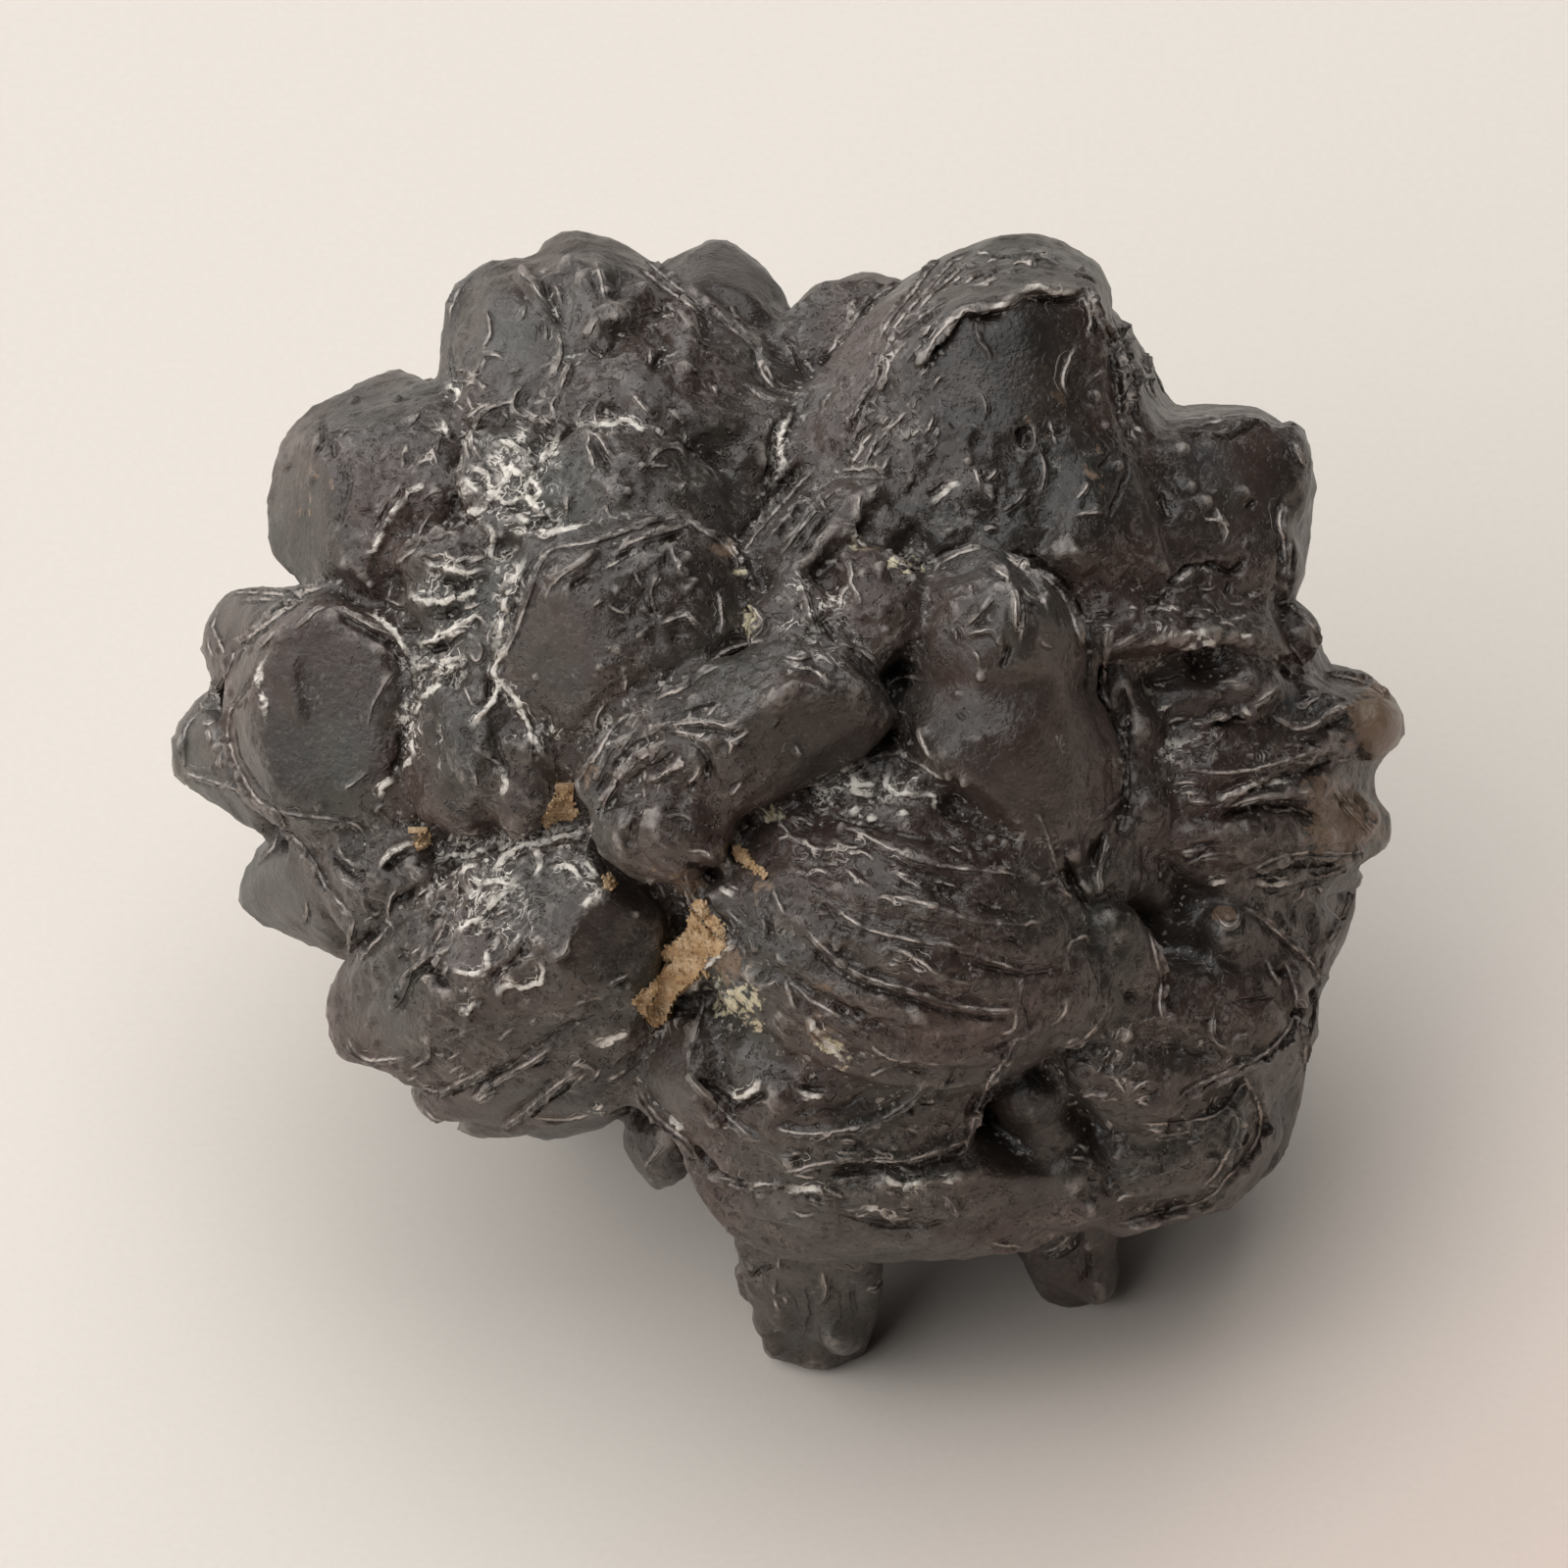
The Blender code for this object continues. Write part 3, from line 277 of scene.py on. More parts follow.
carving["right fan"] = [
    ("ridge", 12, 0.2, [1349, 687, 1370, 690, 1390, 695, 1405, 703, 1420, 714]),
    ("ridge", 11, 0.18, [1294, 724, 1302, 734, 1318, 742, 1334, 742, 1346, 735, 1356, 727, 1370, 722,
        1382, 719]),
    ("pit", 26, 0.25, [1322, 715, 1340, 712]),
    ("groove", 22, 0.35, [1350, 742, 1364, 738, 1376, 734]),
    ("lip", 16, 0.3, [1230, 738, 1258, 727, 1284, 714, 1304, 700]),
    ("groove", 20, 0.32, [1268, 806, 1300, 798, 1330, 786, 1350, 777, 1364, 770]),
    ("dusty", 10, 0.18, [1240, 816, 1260, 808, 1284, 800, 1304, 797, 1320, 797]),
    ("ridge", 12, 0.18, [1250, 824, 1275, 815, 1300, 812, 1316, 813]),
    ("groove", 22, 0.22, [1240, 838, 1270, 824, 1300, 820, 1330, 828, 1356, 840]),
    ("ridge", 10, 0.14, [1360, 806, 1372, 822, 1388, 840, 1402, 856]),
    ("groove", 12, 0.2, [1380, 810, 1392, 826, 1408, 842]),
    ("ridge", 10, 0.14, [1204, 870, 1222, 866]),
    ("ridge", 11, 0.2, [1210, 882, 1224, 874, 1244, 870, 1264, 870]),
    ("groove", 9, 0.16, [1212, 864, 1228, 861, 1246, 860]),
    ("groove", 10, 0.16, [1206, 876, 1218, 872, 1232, 868]),
    ("ridge", 20, 0.25, [1274, 890, 1290, 880, 1312, 872, 1340, 868, 1370, 870, 1395, 868]),
    ("groove", 11, 0.22, [1302, 881, 1325, 882, 1350, 880, 1366, 880]),
    ("dusty", 9, 0.14, [1234, 901, 1251, 897], [1280, 900, 1298, 902, 1316, 900]),
    ("groove", 12, 0.25, [1270, 894, 1285, 891, 1298, 888]),
    ("groove", 12, 0.22, [1284, 907, 1306, 908, 1330, 903, 1352, 898]),
    ("ridge", 9, 0.14, [1328, 896, 1350, 893, 1366, 888, 1377, 881]),
    ("ridge", 8, 0.1, [1332, 902, 1328, 912, 1322, 918], [1343, 903, 1348, 910]),
    ("knob", 9, 0.1, [1259, 760, 1281, 758, 1278, 764, 1185, 770, 1213, 767, 1228, 808, 1232, 832,
        1238, 768]),
    ("ridge", 10, 0.12, [1210, 785, 1240, 788, 1270, 786, 1310, 776, 1340, 766]),
    ("swell", 26, 0.2, [1200, 850, 1250, 850, 1310, 850, 1370, 858]),
    ("ridge", 10, 0.12, [1305, 762, 1325, 760, 1350, 766]),
]
carving["lower right shells"] = [
    ("ridge", 10, 0.2, [1268, 924, 1285, 935, 1300, 948, 1315, 962, 1330, 975, 1341, 986, 1345, 1000,
        1340, 1015, 1330, 1028]),
    ("lip", 26, 0.45, [1310, 980, 1318, 1000, 1322, 1020, 1320, 1036, 1312, 1052, 1300, 1066, 1285, 1077,
        1265, 1086, 1240, 1098, 1215, 1110, 1200, 1121]),
    ("groove", 14, 0.3, [1324, 1040, 1314, 1062, 1296, 1078, 1275, 1090, 1250, 1102, 1225, 1113]),
    ("ridge", 9, 0.14, [1292, 978, 1299, 994, 1306, 1004]),
    ("groove", 10, 0.16, [1296, 985, 1304, 994, 1314, 988]),
    ("ridge", 9, 0.16, [1324, 1036, 1330, 1054, 1332, 1066, 1328, 1096]),
    ("groove", 14, 0.2, [1352, 968, 1346, 990, 1340, 1030, 1334, 1062]),
    ("ridge", 10, 0.12, [1376, 900, 1376, 918, 1364, 945, 1353, 966]),
    ("ridge", 10, 0.14, [1238, 1028, 1236, 1050, 1241, 1063, 1256, 1071]),
    ("groove", 8, 0.1, [1242, 1026, 1260, 1022, 1280, 1019, 1300, 1016]),
    ("lip", 20, 0.4, [1272, 1096, 1262, 1114, 1250, 1130, 1236, 1138, 1214, 1143, 1190, 1146, 1164, 1146]),
    ("lip", 22, 0.45, [1272, 1104, 1281, 1120, 1286, 1140, 1281, 1164, 1266, 1186, 1250, 1202, 1240, 1216,
        1224, 1226, 1200, 1231, 1184, 1236, 1164, 1243, 1144, 1248]),
    ("ridge", 12, 0.25, [1254, 1128, 1263, 1144, 1260, 1162, 1250, 1180, 1240, 1196, 1226, 1212]),
    ("groove", 13, 0.35, [1276, 1150, 1266, 1168, 1252, 1188, 1238, 1206, 1226, 1218]),
    ("ridge", 9, 0.1, [1178, 1158, 1194, 1157, 1212, 1154]),
    ("swell", 30, 0.3, [1160, 1128, 1200, 1128, 1240, 1118]),
    ("pit", 50, 0.5, [1150, 1060, 1200, 1070, 1240, 1078]),
    ("ridge", 16, 0.2, [1172, 950, 1178, 972, 1184, 995, 1183, 1020, 1185, 1040]),
    ("knob", 12, 0.14, [1141, 1176, 1134, 1204, 1150, 1055, 1112, 1230, 1140, 958]),
    ("ridge", 9, 0.12, [1137, 1098, 1146, 1114], [1158, 1122, 1171, 1128],
        [1098, 1084, 1110, 1086, 1118, 1093]),
    ("groove", 9, 0.12, [1137, 1068, 1130, 1080, 1126, 1094]),
    ("ridge", 9, 0.12, [1128, 1142, 1135, 1148]),
    ("ridge", 10, 0.14, [1237, 925, 1243, 938, 1256, 945, 1262, 938, 1264, 926]),
]
carving["middle bars and crust"] = [
    ("groove", 16, 0.3, [818, 470, 800, 492, 782, 514, 764, 536, 750, 556]),
    ("ridge", 16, 0.25, [828, 480, 808, 502, 788, 524, 770, 546, 758, 562]),
    ("groove", 15, 0.28, [838, 492, 818, 514, 798, 538, 778, 562]),
    ("ridge", 15, 0.22, [850, 500, 838, 513, 824, 530, 808, 550, 794, 568]),
    ("groove", 14, 0.25, [862, 508, 846, 524, 830, 546, 812, 572]),
    ("dusty", 14, 0.2, [857, 546, 868, 543, 874, 550, 882, 558]),
    ("knob", 14, 0.16, [862, 568, 868, 578, 905, 566, 925, 572, 940, 576, 930, 592, 898, 578]),
    ("ridge", 11, 0.18, [902, 564, 916, 574, 930, 578, 946, 580, 952, 574]),
    ("ridge", 10, 0.14, [865, 568, 869, 582, 868, 594, 875, 606, 878, 620]),
    ("ridge", 10, 0.12, [868, 594, 860, 604, 856, 620]),
    ("knob", 12, 0.14, [829, 630, 820, 642, 836, 568, 826, 600, 858, 578, 902, 643, 935, 646, 940, 658]),
    ("ridge", 12, 0.14, [815, 590, 822, 610, 826, 628, 832, 645]),
    ("groove", 12, 0.16, [836, 628, 846, 644, 858, 658]),
    ("ridge", 11, 0.14, [855, 655, 870, 660, 884, 668, 898, 682]),
    ("groove", 26, 0.35, [862, 672, 880, 688, 900, 706, 920, 730, 932, 755]),
    ("ridge", 9, 0.12, [800, 668, 815, 672, 828, 668]),
    ("dusty", 9, 0.14, [744, 552, 752, 562, 756, 576]),
    ("knob", 15, 0.22, [755, 574, 757, 586]),
    ("ridge", 10, 0.18, [760, 612, 770, 622, 778, 634, 772, 646, 762, 652]),
    ("knob", 12, 0.16, [770, 640, 760, 618]),
]
carving["dome"] = [
    ("ridge", 11, 0.16, [950, 584, 960, 573, 975, 566, 990, 560, 1004, 558]),
    ("groove", 14, 0.25, [944, 578, 958, 566, 975, 558, 994, 552]),
    ("ridge", 12, 0.2, [1006, 572, 1016, 581, 1026, 588, 1030, 600]),
    ("knob", 30, 0.25, [1024, 600, 1030, 622, 1022, 640]),
    ("ridge", 13, 0.22, [1014, 610, 1004, 620, 994, 630, 986, 637],
        [986, 647, 1000, 643, 1012, 642, 1020, 652, 1020, 666]),
    ("ridge", 12, 0.2, [1032, 598, 1036, 620, 1036, 640]),
    ("groove", 11, 0.18, [1030, 655, 1026, 670, 1020, 682]),
    ("ridge", 13, 0.22, [1028, 569, 1040, 577, 1052, 590, 1062, 606, 1068, 623]),
    ("groove", 12, 0.22, [1040, 600, 1048, 612, 1060, 622]),
    ("ridge", 10, 0.2, [1024, 564, 1050, 576, 1075, 596, 1090, 618, 1098, 640, 1104, 660]),
    ("groove", 12, 0.28, [1030, 560, 1056, 572, 1082, 592, 1100, 620, 1110, 645, 1110, 680, 1106, 704]),
    ("knob", 13, 0.14, [1098, 668, 978, 708, 1000, 690, 942, 745, 1000, 753]),
    ("ridge", 10, 0.12, [1042, 610, 1044, 630, 1040, 655]),
    ("ridge", 11, 0.14, [903, 702, 912, 693, 926, 690, 942, 694]),
    ("ridge", 9, 0.12, [936, 740, 942, 760, 950, 775]),
    ("knob", 30, 0.1, [975, 748, 1090, 745, 1025, 775]),
    ("groove", 8, 0.1, [976, 726, 984, 734]),
    ("ridge", 8, 0.1, [1058, 829, 1066, 846, 1072, 866, 1078, 884]),
    ("groove", 14, 0.2, [1084, 868, 1092, 892, 1102, 912, 1112, 930]),
    ("ridge", 10, 0.16, [1130, 850, 1125, 870, 1120, 890, 1121, 914]),
    ("groove", 9, 0.16, [1127, 846, 1119, 868, 1114, 892]),
    ("ridge", 9, 0.12, [1146, 811, 1132, 824, 1116, 838]),
    ("groove", 20, 0.35, [1146, 700, 1146, 740, 1150, 780, 1148, 820, 1140, 850]),
    ("ridge", 9, 0.12, [1140, 770, 1147, 785, 1146, 796], [1124, 700, 1128, 712, 1130, 722]),
]
carving["six sided crystal"] = [
    ("ridge", 12, 0.2, [700, 535, 685, 540, 665, 546, 645, 552, 630, 561]),
    ("groove", 12, 0.2, [702, 544, 684, 549, 664, 555, 644, 562, 622, 574]),
    ("ridge", 10, 0.14, [548, 572, 560, 561, 580, 556, 604, 552, 630, 544, 664, 532, 696, 526]),
    ("ridge", 12, 0.16, [698, 524, 712, 538, 732, 550, 746, 564, 754, 582]),
    ("groove", 12, 0.16, [722, 536, 736, 543, 750, 556]),
    ("knob", 26, 0.3, [565, 612, 577, 602, 592, 580, 600, 570]),
    ("ridge", 13, 0.25, [556, 612, 562, 596, 580, 582, 598, 570, 606, 560]),
    ("groove", 12, 0.2, [580, 600, 592, 592, 606, 582]),
    ("groove", 10, 0.16, [548, 592, 558, 578, 572, 568]),
    ("ridge", 10, 0.14, [617, 578, 626, 575, 634, 571]),
    ("ridge", 10, 0.12, [604, 619, 615, 610]),
    ("dusty", 16, 0.25, [536, 570, 528, 582, 518, 598, 513, 612, 512, 630, 508, 648, 504, 662]),
    ("ridge", 11, 0.16, [560, 560, 548, 582, 540, 606, 530, 634, 520, 656, 514, 668]),
    ("groove", 12, 0.2, [548, 566, 534, 592, 526, 620, 518, 642]),
    ("dusty", 10, 0.16, [519, 652, 510, 670, 504, 684, 508, 698, 503, 714, 490, 728, 482, 742]),
    ("dusty", 11, 0.18, [514, 700, 525, 712, 534, 730, 543, 748, 548, 762, 556, 772]),
    ("groove", 12, 0.25, [500, 690, 498, 712, 486, 722]),
    ("groove", 12, 0.2, [545, 738, 546, 758, 548, 778]),
    ("ridge", 11, 0.16, [674, 636, 686, 631, 700, 628, 710, 640]),
    ("pit", 30, 0.25, [684, 643, 700, 648]),
    ("knob", 14, 0.16, [700, 568, 699, 584, 706, 594, 656, 620, 660, 640, 652, 648, 700, 600, 668, 616]),
    ("ridge", 10, 0.12, [732, 600, 736, 625, 735, 652]),
    ("ridge", 12, 0.14, [672, 585, 664, 602, 668, 622]),
    ("ridge", 9, 0.12, [684, 556, 690, 574, 698, 588]),
    ("ridge", 9, 0.1, [620, 660, 630, 661, 634, 666]),
    ("ridge", 9, 0.12, [638, 690, 638, 706], [617, 716, 608, 732, 608, 746, 613, 750]),
    ("ridge", 10, 0.14, [644, 726, 628, 738, 618, 752, 609, 768, 598, 784, 590, 796, 590, 808]),
    ("groove", 10, 0.14, [622, 728, 612, 746, 602, 764]),
    ("knob", 8, 0.1, [563, 698, 546, 690, 555, 655, 668, 693, 676, 690, 612, 680, 586, 688, 600, 760]),
    ("ridge", 9, 0.12, [540, 541, 556, 548, 570, 541, 584, 536, 600, 534, 606, 529],
        [632, 540, 644, 535, 653, 537]),
    ("swell", 30, 0.25, [672, 480, 690, 500, 700, 520]),
    ("ridge", 10, 0.14, [660, 475, 672, 460, 690, 455, 700, 466]),
    ("groove", 16, 0.3, [690, 452, 706, 462, 722, 478, 734, 496]),
    ("knob", 12, 0.12, [560, 445, 565, 455, 574, 478, 588, 502, 612, 508, 640, 500, 735, 360, 724, 362,
        530, 436]),
    ("swell", 36, 0.3, [612, 470, 622, 500, 626, 530]),
]
carving["disc"] = [
    ("ridge", 11, 0.2, [338, 596, 312, 604, 290, 619, 268, 640, 244, 656, 238, 670, 230, 688, 224, 706,
        224, 722]),
    ("groove", 9, 0.16, [316, 608, 292, 625, 268, 646, 250, 660, 240, 680]),
    ("ridge", 10, 0.14, [311, 610, 286, 626, 263, 642, 252, 654], [281, 643, 270, 655, 261, 664]),
    ("ridge", 11, 0.16, [334, 617, 322, 623, 310, 634, 300, 640]),
    ("dusty", 14, 0.2, [270, 670, 265, 684, 264, 702, 270, 716, 270, 732]),
    ("groove", 12, 0.2, [262, 676, 256, 694, 247, 708, 240, 724]),
    ("ridge", 10, 0.18, [339, 617, 360, 628, 382, 640, 404, 648]),
    ("dusty", 10, 0.18, [374, 624, 390, 633, 402, 642, 410, 656, 419, 670]),
    ("groove", 16, 0.25, [345, 628, 370, 641, 396, 654, 408, 668]),
    ("ridge", 9, 0.06, [402, 682, 390, 700, 380, 718, 374, 740]),
    ("ridge", 11, 0.2, [247, 708, 236, 722, 232, 742, 235, 762, 243, 782, 254, 804, 268, 820, 284, 829,
        293, 846, 309, 864, 322, 881, 331, 902, 346, 920, 360, 936]),
    ("groove", 9, 0.16, [240, 740, 243, 764, 252, 784, 264, 802, 280, 820]),
    ("ridge", 10, 0.14, [284, 828, 312, 832, 342, 836, 358, 846]),
    ("ridge", 9, 0.12, [335, 846, 352, 838, 364, 842, 372, 852]),
    ("ridge", 10, 0.12, [238, 604, 262, 604, 290, 606, 312, 601]),
    ("ridge", 9, 0.1, [246, 612, 276, 611, 298, 613], [222, 622, 217, 640, 224, 655, 230, 672]),
    ("ridge", 9, 0.12, [204, 703, 214, 707, 224, 710]),
    ("ridge", 9, 0.14, [201, 718, 212, 723, 224, 722, 227, 730]),
    ("ridge", 14, 0.14, [202, 728, 190, 742, 186, 762, 188, 784]),
    ("ridge", 10, 0.16, [186, 788, 204, 793, 226, 800, 252, 809]),
    ("knob", 12, 0.12, [253, 660, 257, 662, 220, 763, 218, 783, 226, 778, 325, 824]),
    ("swell", 20, 0.12, [300, 660, 300, 700, 310, 740]),
]
carving["dusty valley"] = [
    ("ridge", 9, 0.14, [405, 562, 422, 553, 440, 549, 458, 541, 474, 532, 492, 522]),
    ("ridge", 9, 0.13, [401, 577, 413, 568, 425, 556, 430, 538, 440, 524]),
    ("dusty", 14, 0.25, [434, 571, 445, 579, 460, 578, 474, 584, 492, 578]),
    ("dusty", 16, 0.25, [417, 603, 430, 612, 450, 613, 470, 609, 482, 603, 484, 594]),
    ("dusty", 10, 0.18, [424, 656, 444, 653, 460, 641, 476, 632, 490, 622]),
    ("dusty", 22, 0.2, [418, 686, 436, 678, 456, 674, 474, 670]),
    ("dusty", 14, 0.25, [470, 672, 452, 690, 436, 706, 426, 720, 418, 735]),
    ("dusty", 13, 0.25, [418, 738, 419, 754, 422, 772]),
    ("dusty", 9, 0.14, [420, 774, 410, 781], [402, 795, 391, 801, 387, 814]),
    ("ridge", 9, 0.14, [394, 820, 384, 824, 395, 835, 406, 846]),
    ("ridge", 8, 0.12, [479, 760, 495, 770, 511, 780]),
    ("ridge", 10, 0.12, [350, 806, 364, 796, 376, 786]),
    ("ridge", 9, 0.12, [478, 640, 486, 628, 494, 634, 488, 644], [478, 664, 486, 674, 492, 664, 486, 652],
        [476, 794, 486, 800, 484, 786]),
    ("ridge", 8, 0.1, [473, 700, 478, 712, 484, 720]),
    ("knob", 9, 0.12, [488, 557, 378, 596, 414, 634, 484, 712, 440, 676, 500, 512, 512, 545, 514, 560,
        446, 610, 500, 768]),
    ("pit", 26, 0.3, [470, 556, 484, 562]),
    ("pit", 24, 0.3, [404, 660, 410, 690]),
    ("groove", 20, 0.35, [440, 590, 470, 596, 494, 590]),
    ("groove", 18, 0.3, [430, 630, 452, 628, 474, 618]),
    ("groove", 16, 0.3, [424, 664, 446, 662, 464, 654]),
    ("swell", 30, 0.25, [410, 590, 440, 560, 470, 545]),
    ("groove", 16, 0.3, [408, 740, 408, 770, 398, 790]),
    ("groove", 12, 0.1, [500, 740, 512, 770, 520, 800]),
    ("swell", 40, 0.12, [470, 700, 462, 740, 466, 790]),
    ("dusty", 9, 0.14, [512, 782, 514, 796, 512, 812]),
    ("dusty", 14, 0.2, [520, 450, 530, 462, 521, 474, 535, 482, 550, 475, 557, 462, 566, 450, 570, 438]),
    ("dusty", 15, 0.2, [504, 504, 520, 513, 535, 506, 546, 516, 552, 526, 538, 531, 524, 523]),
    ("dusty", 12, 0.16, [500, 456, 514, 450, 528, 456, 541, 468], [540, 486, 549, 498, 545, 512],
        [562, 520, 549, 531, 556, 544, 572, 540, 590, 537, 602, 530]),
    ("dusty", 10, 0.14, [497, 534, 503, 546, 500, 560, 504, 572], [508, 470, 516, 484, 510, 496]),
    ("dusty", 12, 0.16, [440, 640, 456, 648, 470, 644, 484, 650]),
]
carving["long ridge"] = [
    ("ridge", 12, 0.2, [668, 713, 685, 705, 700, 700, 715, 688, 734, 678]),
    ("ridge", 12, 0.16, [722, 676, 740, 664, 758, 657, 780, 652]),
    ("ridge", 12, 0.2, [660, 749, 675, 742, 695, 738, 714, 736, 732, 738, 748, 742, 762, 738]),
    ("ridge", 10, 0.14, [688, 745, 702, 748, 712, 750]),
    ("groove", 12, 0.2, [664, 741, 690, 730, 716, 722, 740, 714]),
    ("groove", 10, 0.16, [690, 744, 716, 743, 738, 746]),
    ("ridge", 14, 0.2, [738, 752, 746, 758, 744, 770]),
    ("ridge", 14, 0.25, [612, 838, 616, 820, 626, 802, 640, 785, 656, 772, 676, 763]),
    ("ridge", 11, 0.18, [604, 800, 614, 784, 622, 766, 636, 752, 652, 742], [662, 796, 680, 788, 696, 780],
        [680, 785, 690, 779, 694, 770]),
    ("groove", 12, 0.25, [608, 812, 620, 790, 634, 772, 652, 758, 672, 750]),
    ("groove", 12, 0.22, [640, 802, 656, 786, 676, 776, 690, 764]),
    ("groove", 16, 0.25, [700, 752, 716, 764, 724, 782, 716, 800]),
    ("ridge", 10, 0.14, [700, 800, 710, 790, 716, 780], [812, 758, 813, 766, 818, 771]),
    ("knob", 12, 0.12, [787, 738, 791, 732, 800, 703, 706, 717, 708, 712, 806, 700, 770, 672, 818, 668]),
    ("ridge", 12, 0.14, [800, 672, 812, 680, 832, 684, 846, 700]),
    ("swell", 30, 0.2, [896, 700, 878, 702, 858, 706, 836, 708, 812, 706, 790, 716, 776, 728]),
    ("swell", 26, 0.3, [640, 830, 634, 858, 640, 884]),
    ("groove", 16, 0.25, [654, 816, 646, 840, 640, 866]),
    ("ridge", 9, 0.12, [680, 832, 694, 831, 706, 836]),
    ("ridge", 8, 0.12, [604, 838, 602, 852, 596, 868]),
    ("dusty", 8, 0.14, [596, 876, 602, 884, 610, 893]),
    ("ridge", 9, 0.14, [658, 896, 670, 900, 680, 916]),
    ("dusty", 8, 0.12, [756, 843, 764, 838]),
    ("ridge", 10, 0.12, [768, 818, 780, 826, 790, 838]),
]
carving["ribbed fan"] = [
    ("ridge", 14, 0.28, [824, 950, 838, 964, 850, 975, 864, 986, 880, 995, 900, 1002, 925, 1008, 945, 1015,
        965, 1022, 990, 1027, 1015, 1030, 1036, 1028]),
    ("groove", 14, 0.3, [830, 966, 848, 984, 864, 996, 884, 1006, 906, 1012, 935, 1021, 960, 1030, 990, 1036,
        1018, 1038]),
    ("ridge", 16, 0.28, [808, 1003, 825, 1018, 840, 1027, 856, 1036, 875, 1045, 890, 1050, 900, 1060]),
    ("groove", 14, 0.25, [800, 990, 820, 1004, 842, 1016, 866, 1028, 890, 1034]),
    ("ridge", 18, 0.28, [820, 1040, 835, 1055, 850, 1065, 868, 1074]),
    ("groove", 12, 0.2, [830, 1038, 848, 1050, 868, 1060, 884, 1066]),
    ("ridge", 13, 0.18, [915, 969, 930, 975, 945, 985, 958, 995, 975, 1000, 990, 1002]),
    ("groove", 13, 0.18, [900, 962, 918, 972, 938, 984, 952, 996]),
    ("ridge", 12, 0.16, [978, 970, 1000, 975, 1015, 981, 1042, 990]),
    ("groove", 13, 0.2, [985, 982, 1005, 986, 1035, 992, 1065, 990, 1085, 986]),
    ("groove", 12, 0.14, [930, 900, 950, 906, 970, 914, 990, 922, 1020, 930, 1050, 932]),
    ("ridge", 14, 0.14, [900, 912, 930, 918, 960, 926, 990, 938, 1030, 942, 1060, 940]),
    ("groove", 12, 0.14, [870, 925, 900, 936, 940, 940, 975, 948, 1005, 957, 1045, 958]),
    ("ridge", 14, 0.16, [850, 925, 880, 945, 910, 954, 950, 962, 990, 964]),
    ("ridge", 14, 0.14, [856, 840, 880, 850, 905, 863, 935, 876, 970, 884, 1010, 888, 1040, 892]),
    ("groove", 12, 0.14, [850, 850, 880, 864, 905, 876, 940, 890, 980, 898, 1020, 904],
        [870, 836, 900, 846, 940, 856, 980, 862, 1010, 866]),
    ("ridge", 12, 0.2, [912, 889, 925, 898, 940, 905]),
    ("ridge", 10, 0.14, [914, 865, 932, 868]),
    ("knob", 16, 0.2, [984, 918, 992, 922, 1012, 855, 1025, 860, 1044, 864, 1047, 892, 1056, 895]),
    ("ridge", 10, 0.16, [1060, 902, 1070, 900, 1078, 895], [1074, 904, 1086, 910, 1094, 916]),
    ("ridge", 11, 0.18, [832, 912, 843, 917, 853, 927]),
    ("ridge", 10, 0.14, [834, 932, 850, 932]),
    ("ridge", 11, 0.16, [838, 880, 850, 881, 862, 886, 872, 894, 888, 904]),
    ("knob", 12, 0.14, [876, 950, 875, 940, 900, 1015, 838, 956, 858, 843, 996, 834, 1038, 836, 970, 826]),
    ("ridge", 10, 0.14, [812, 890, 824, 892, 832, 886]),
    ("ridge", 10, 0.12, [820, 855, 826, 862, 830, 870]),
    ("ridge", 12, 0.18, [1126, 1014, 1129, 1028, 1121, 1042, 1112, 1053, 1100, 1064, 1084, 1068]),
    ("ridge", 10, 0.14, [1086, 1012, 1088, 1026, 1082, 1038, 1070, 1046]),
    ("ridge", 12, 0.14, [1036, 1028, 1036, 1042, 1032, 1050, 1020, 1055]),
    ("groove", 12, 0.2, [1046, 1000, 1044, 1020, 1050, 1040, 1048, 1056]),
    ("knob", 26, 0.2, [1085, 1046, 1098, 1044]),
    ("ridge", 10, 0.14, [1088, 970, 1092, 962, 1106, 954, 1112, 962]),
    ("ridge", 11, 0.2, [990, 1078, 1008, 1074, 1024, 1069, 1036, 1060, 1052, 1059]),
    ("ridge", 10, 0.14, [914, 1085, 930, 1080, 944, 1084, 960, 1086]),
    ("groove", 12, 0.2, [905, 1090, 925, 1090, 950, 1093]),
    ("ridge", 10, 0.12, [884, 1060, 900, 1076, 918, 1082]),
    ("swell", 30, 0.2, [940, 1050, 950, 1064, 960, 1074]),
]
carving["fan top"] = [
    ("dusty", 11, 0.18, [844, 816, 853, 822, 862, 828]),
    ("dusty", 9, 0.14, [866, 806, 880, 809, 894, 810]),
    ("dusty", 10, 0.16, [905, 786, 905, 800, 912, 808, 924, 809, 938, 810], [943, 808, 952, 812, 952, 824]),
    ("dusty", 9, 0.14, [872, 784, 870, 796, 880, 801, 892, 798, 896, 788], [868, 830, 876, 822],
        [884, 836, 894, 832], [916, 829, 926, 827]),
    ("ridge", 9, 0.14, [916, 760, 922, 772, 938, 779, 950, 788, 966, 796]),
    ("knob", 12, 0.16, [968, 790, 984, 797, 858, 846, 924, 842]),
    ("groove", 11, 0.16, [850, 832, 870, 838, 900, 842]),
    ("groove", 10, 0.14, [864, 812, 886, 816, 910, 818]),
    ("ridge", 12, 0.14, [822, 800, 842, 798, 866, 784, 890, 772, 912, 768]),
]
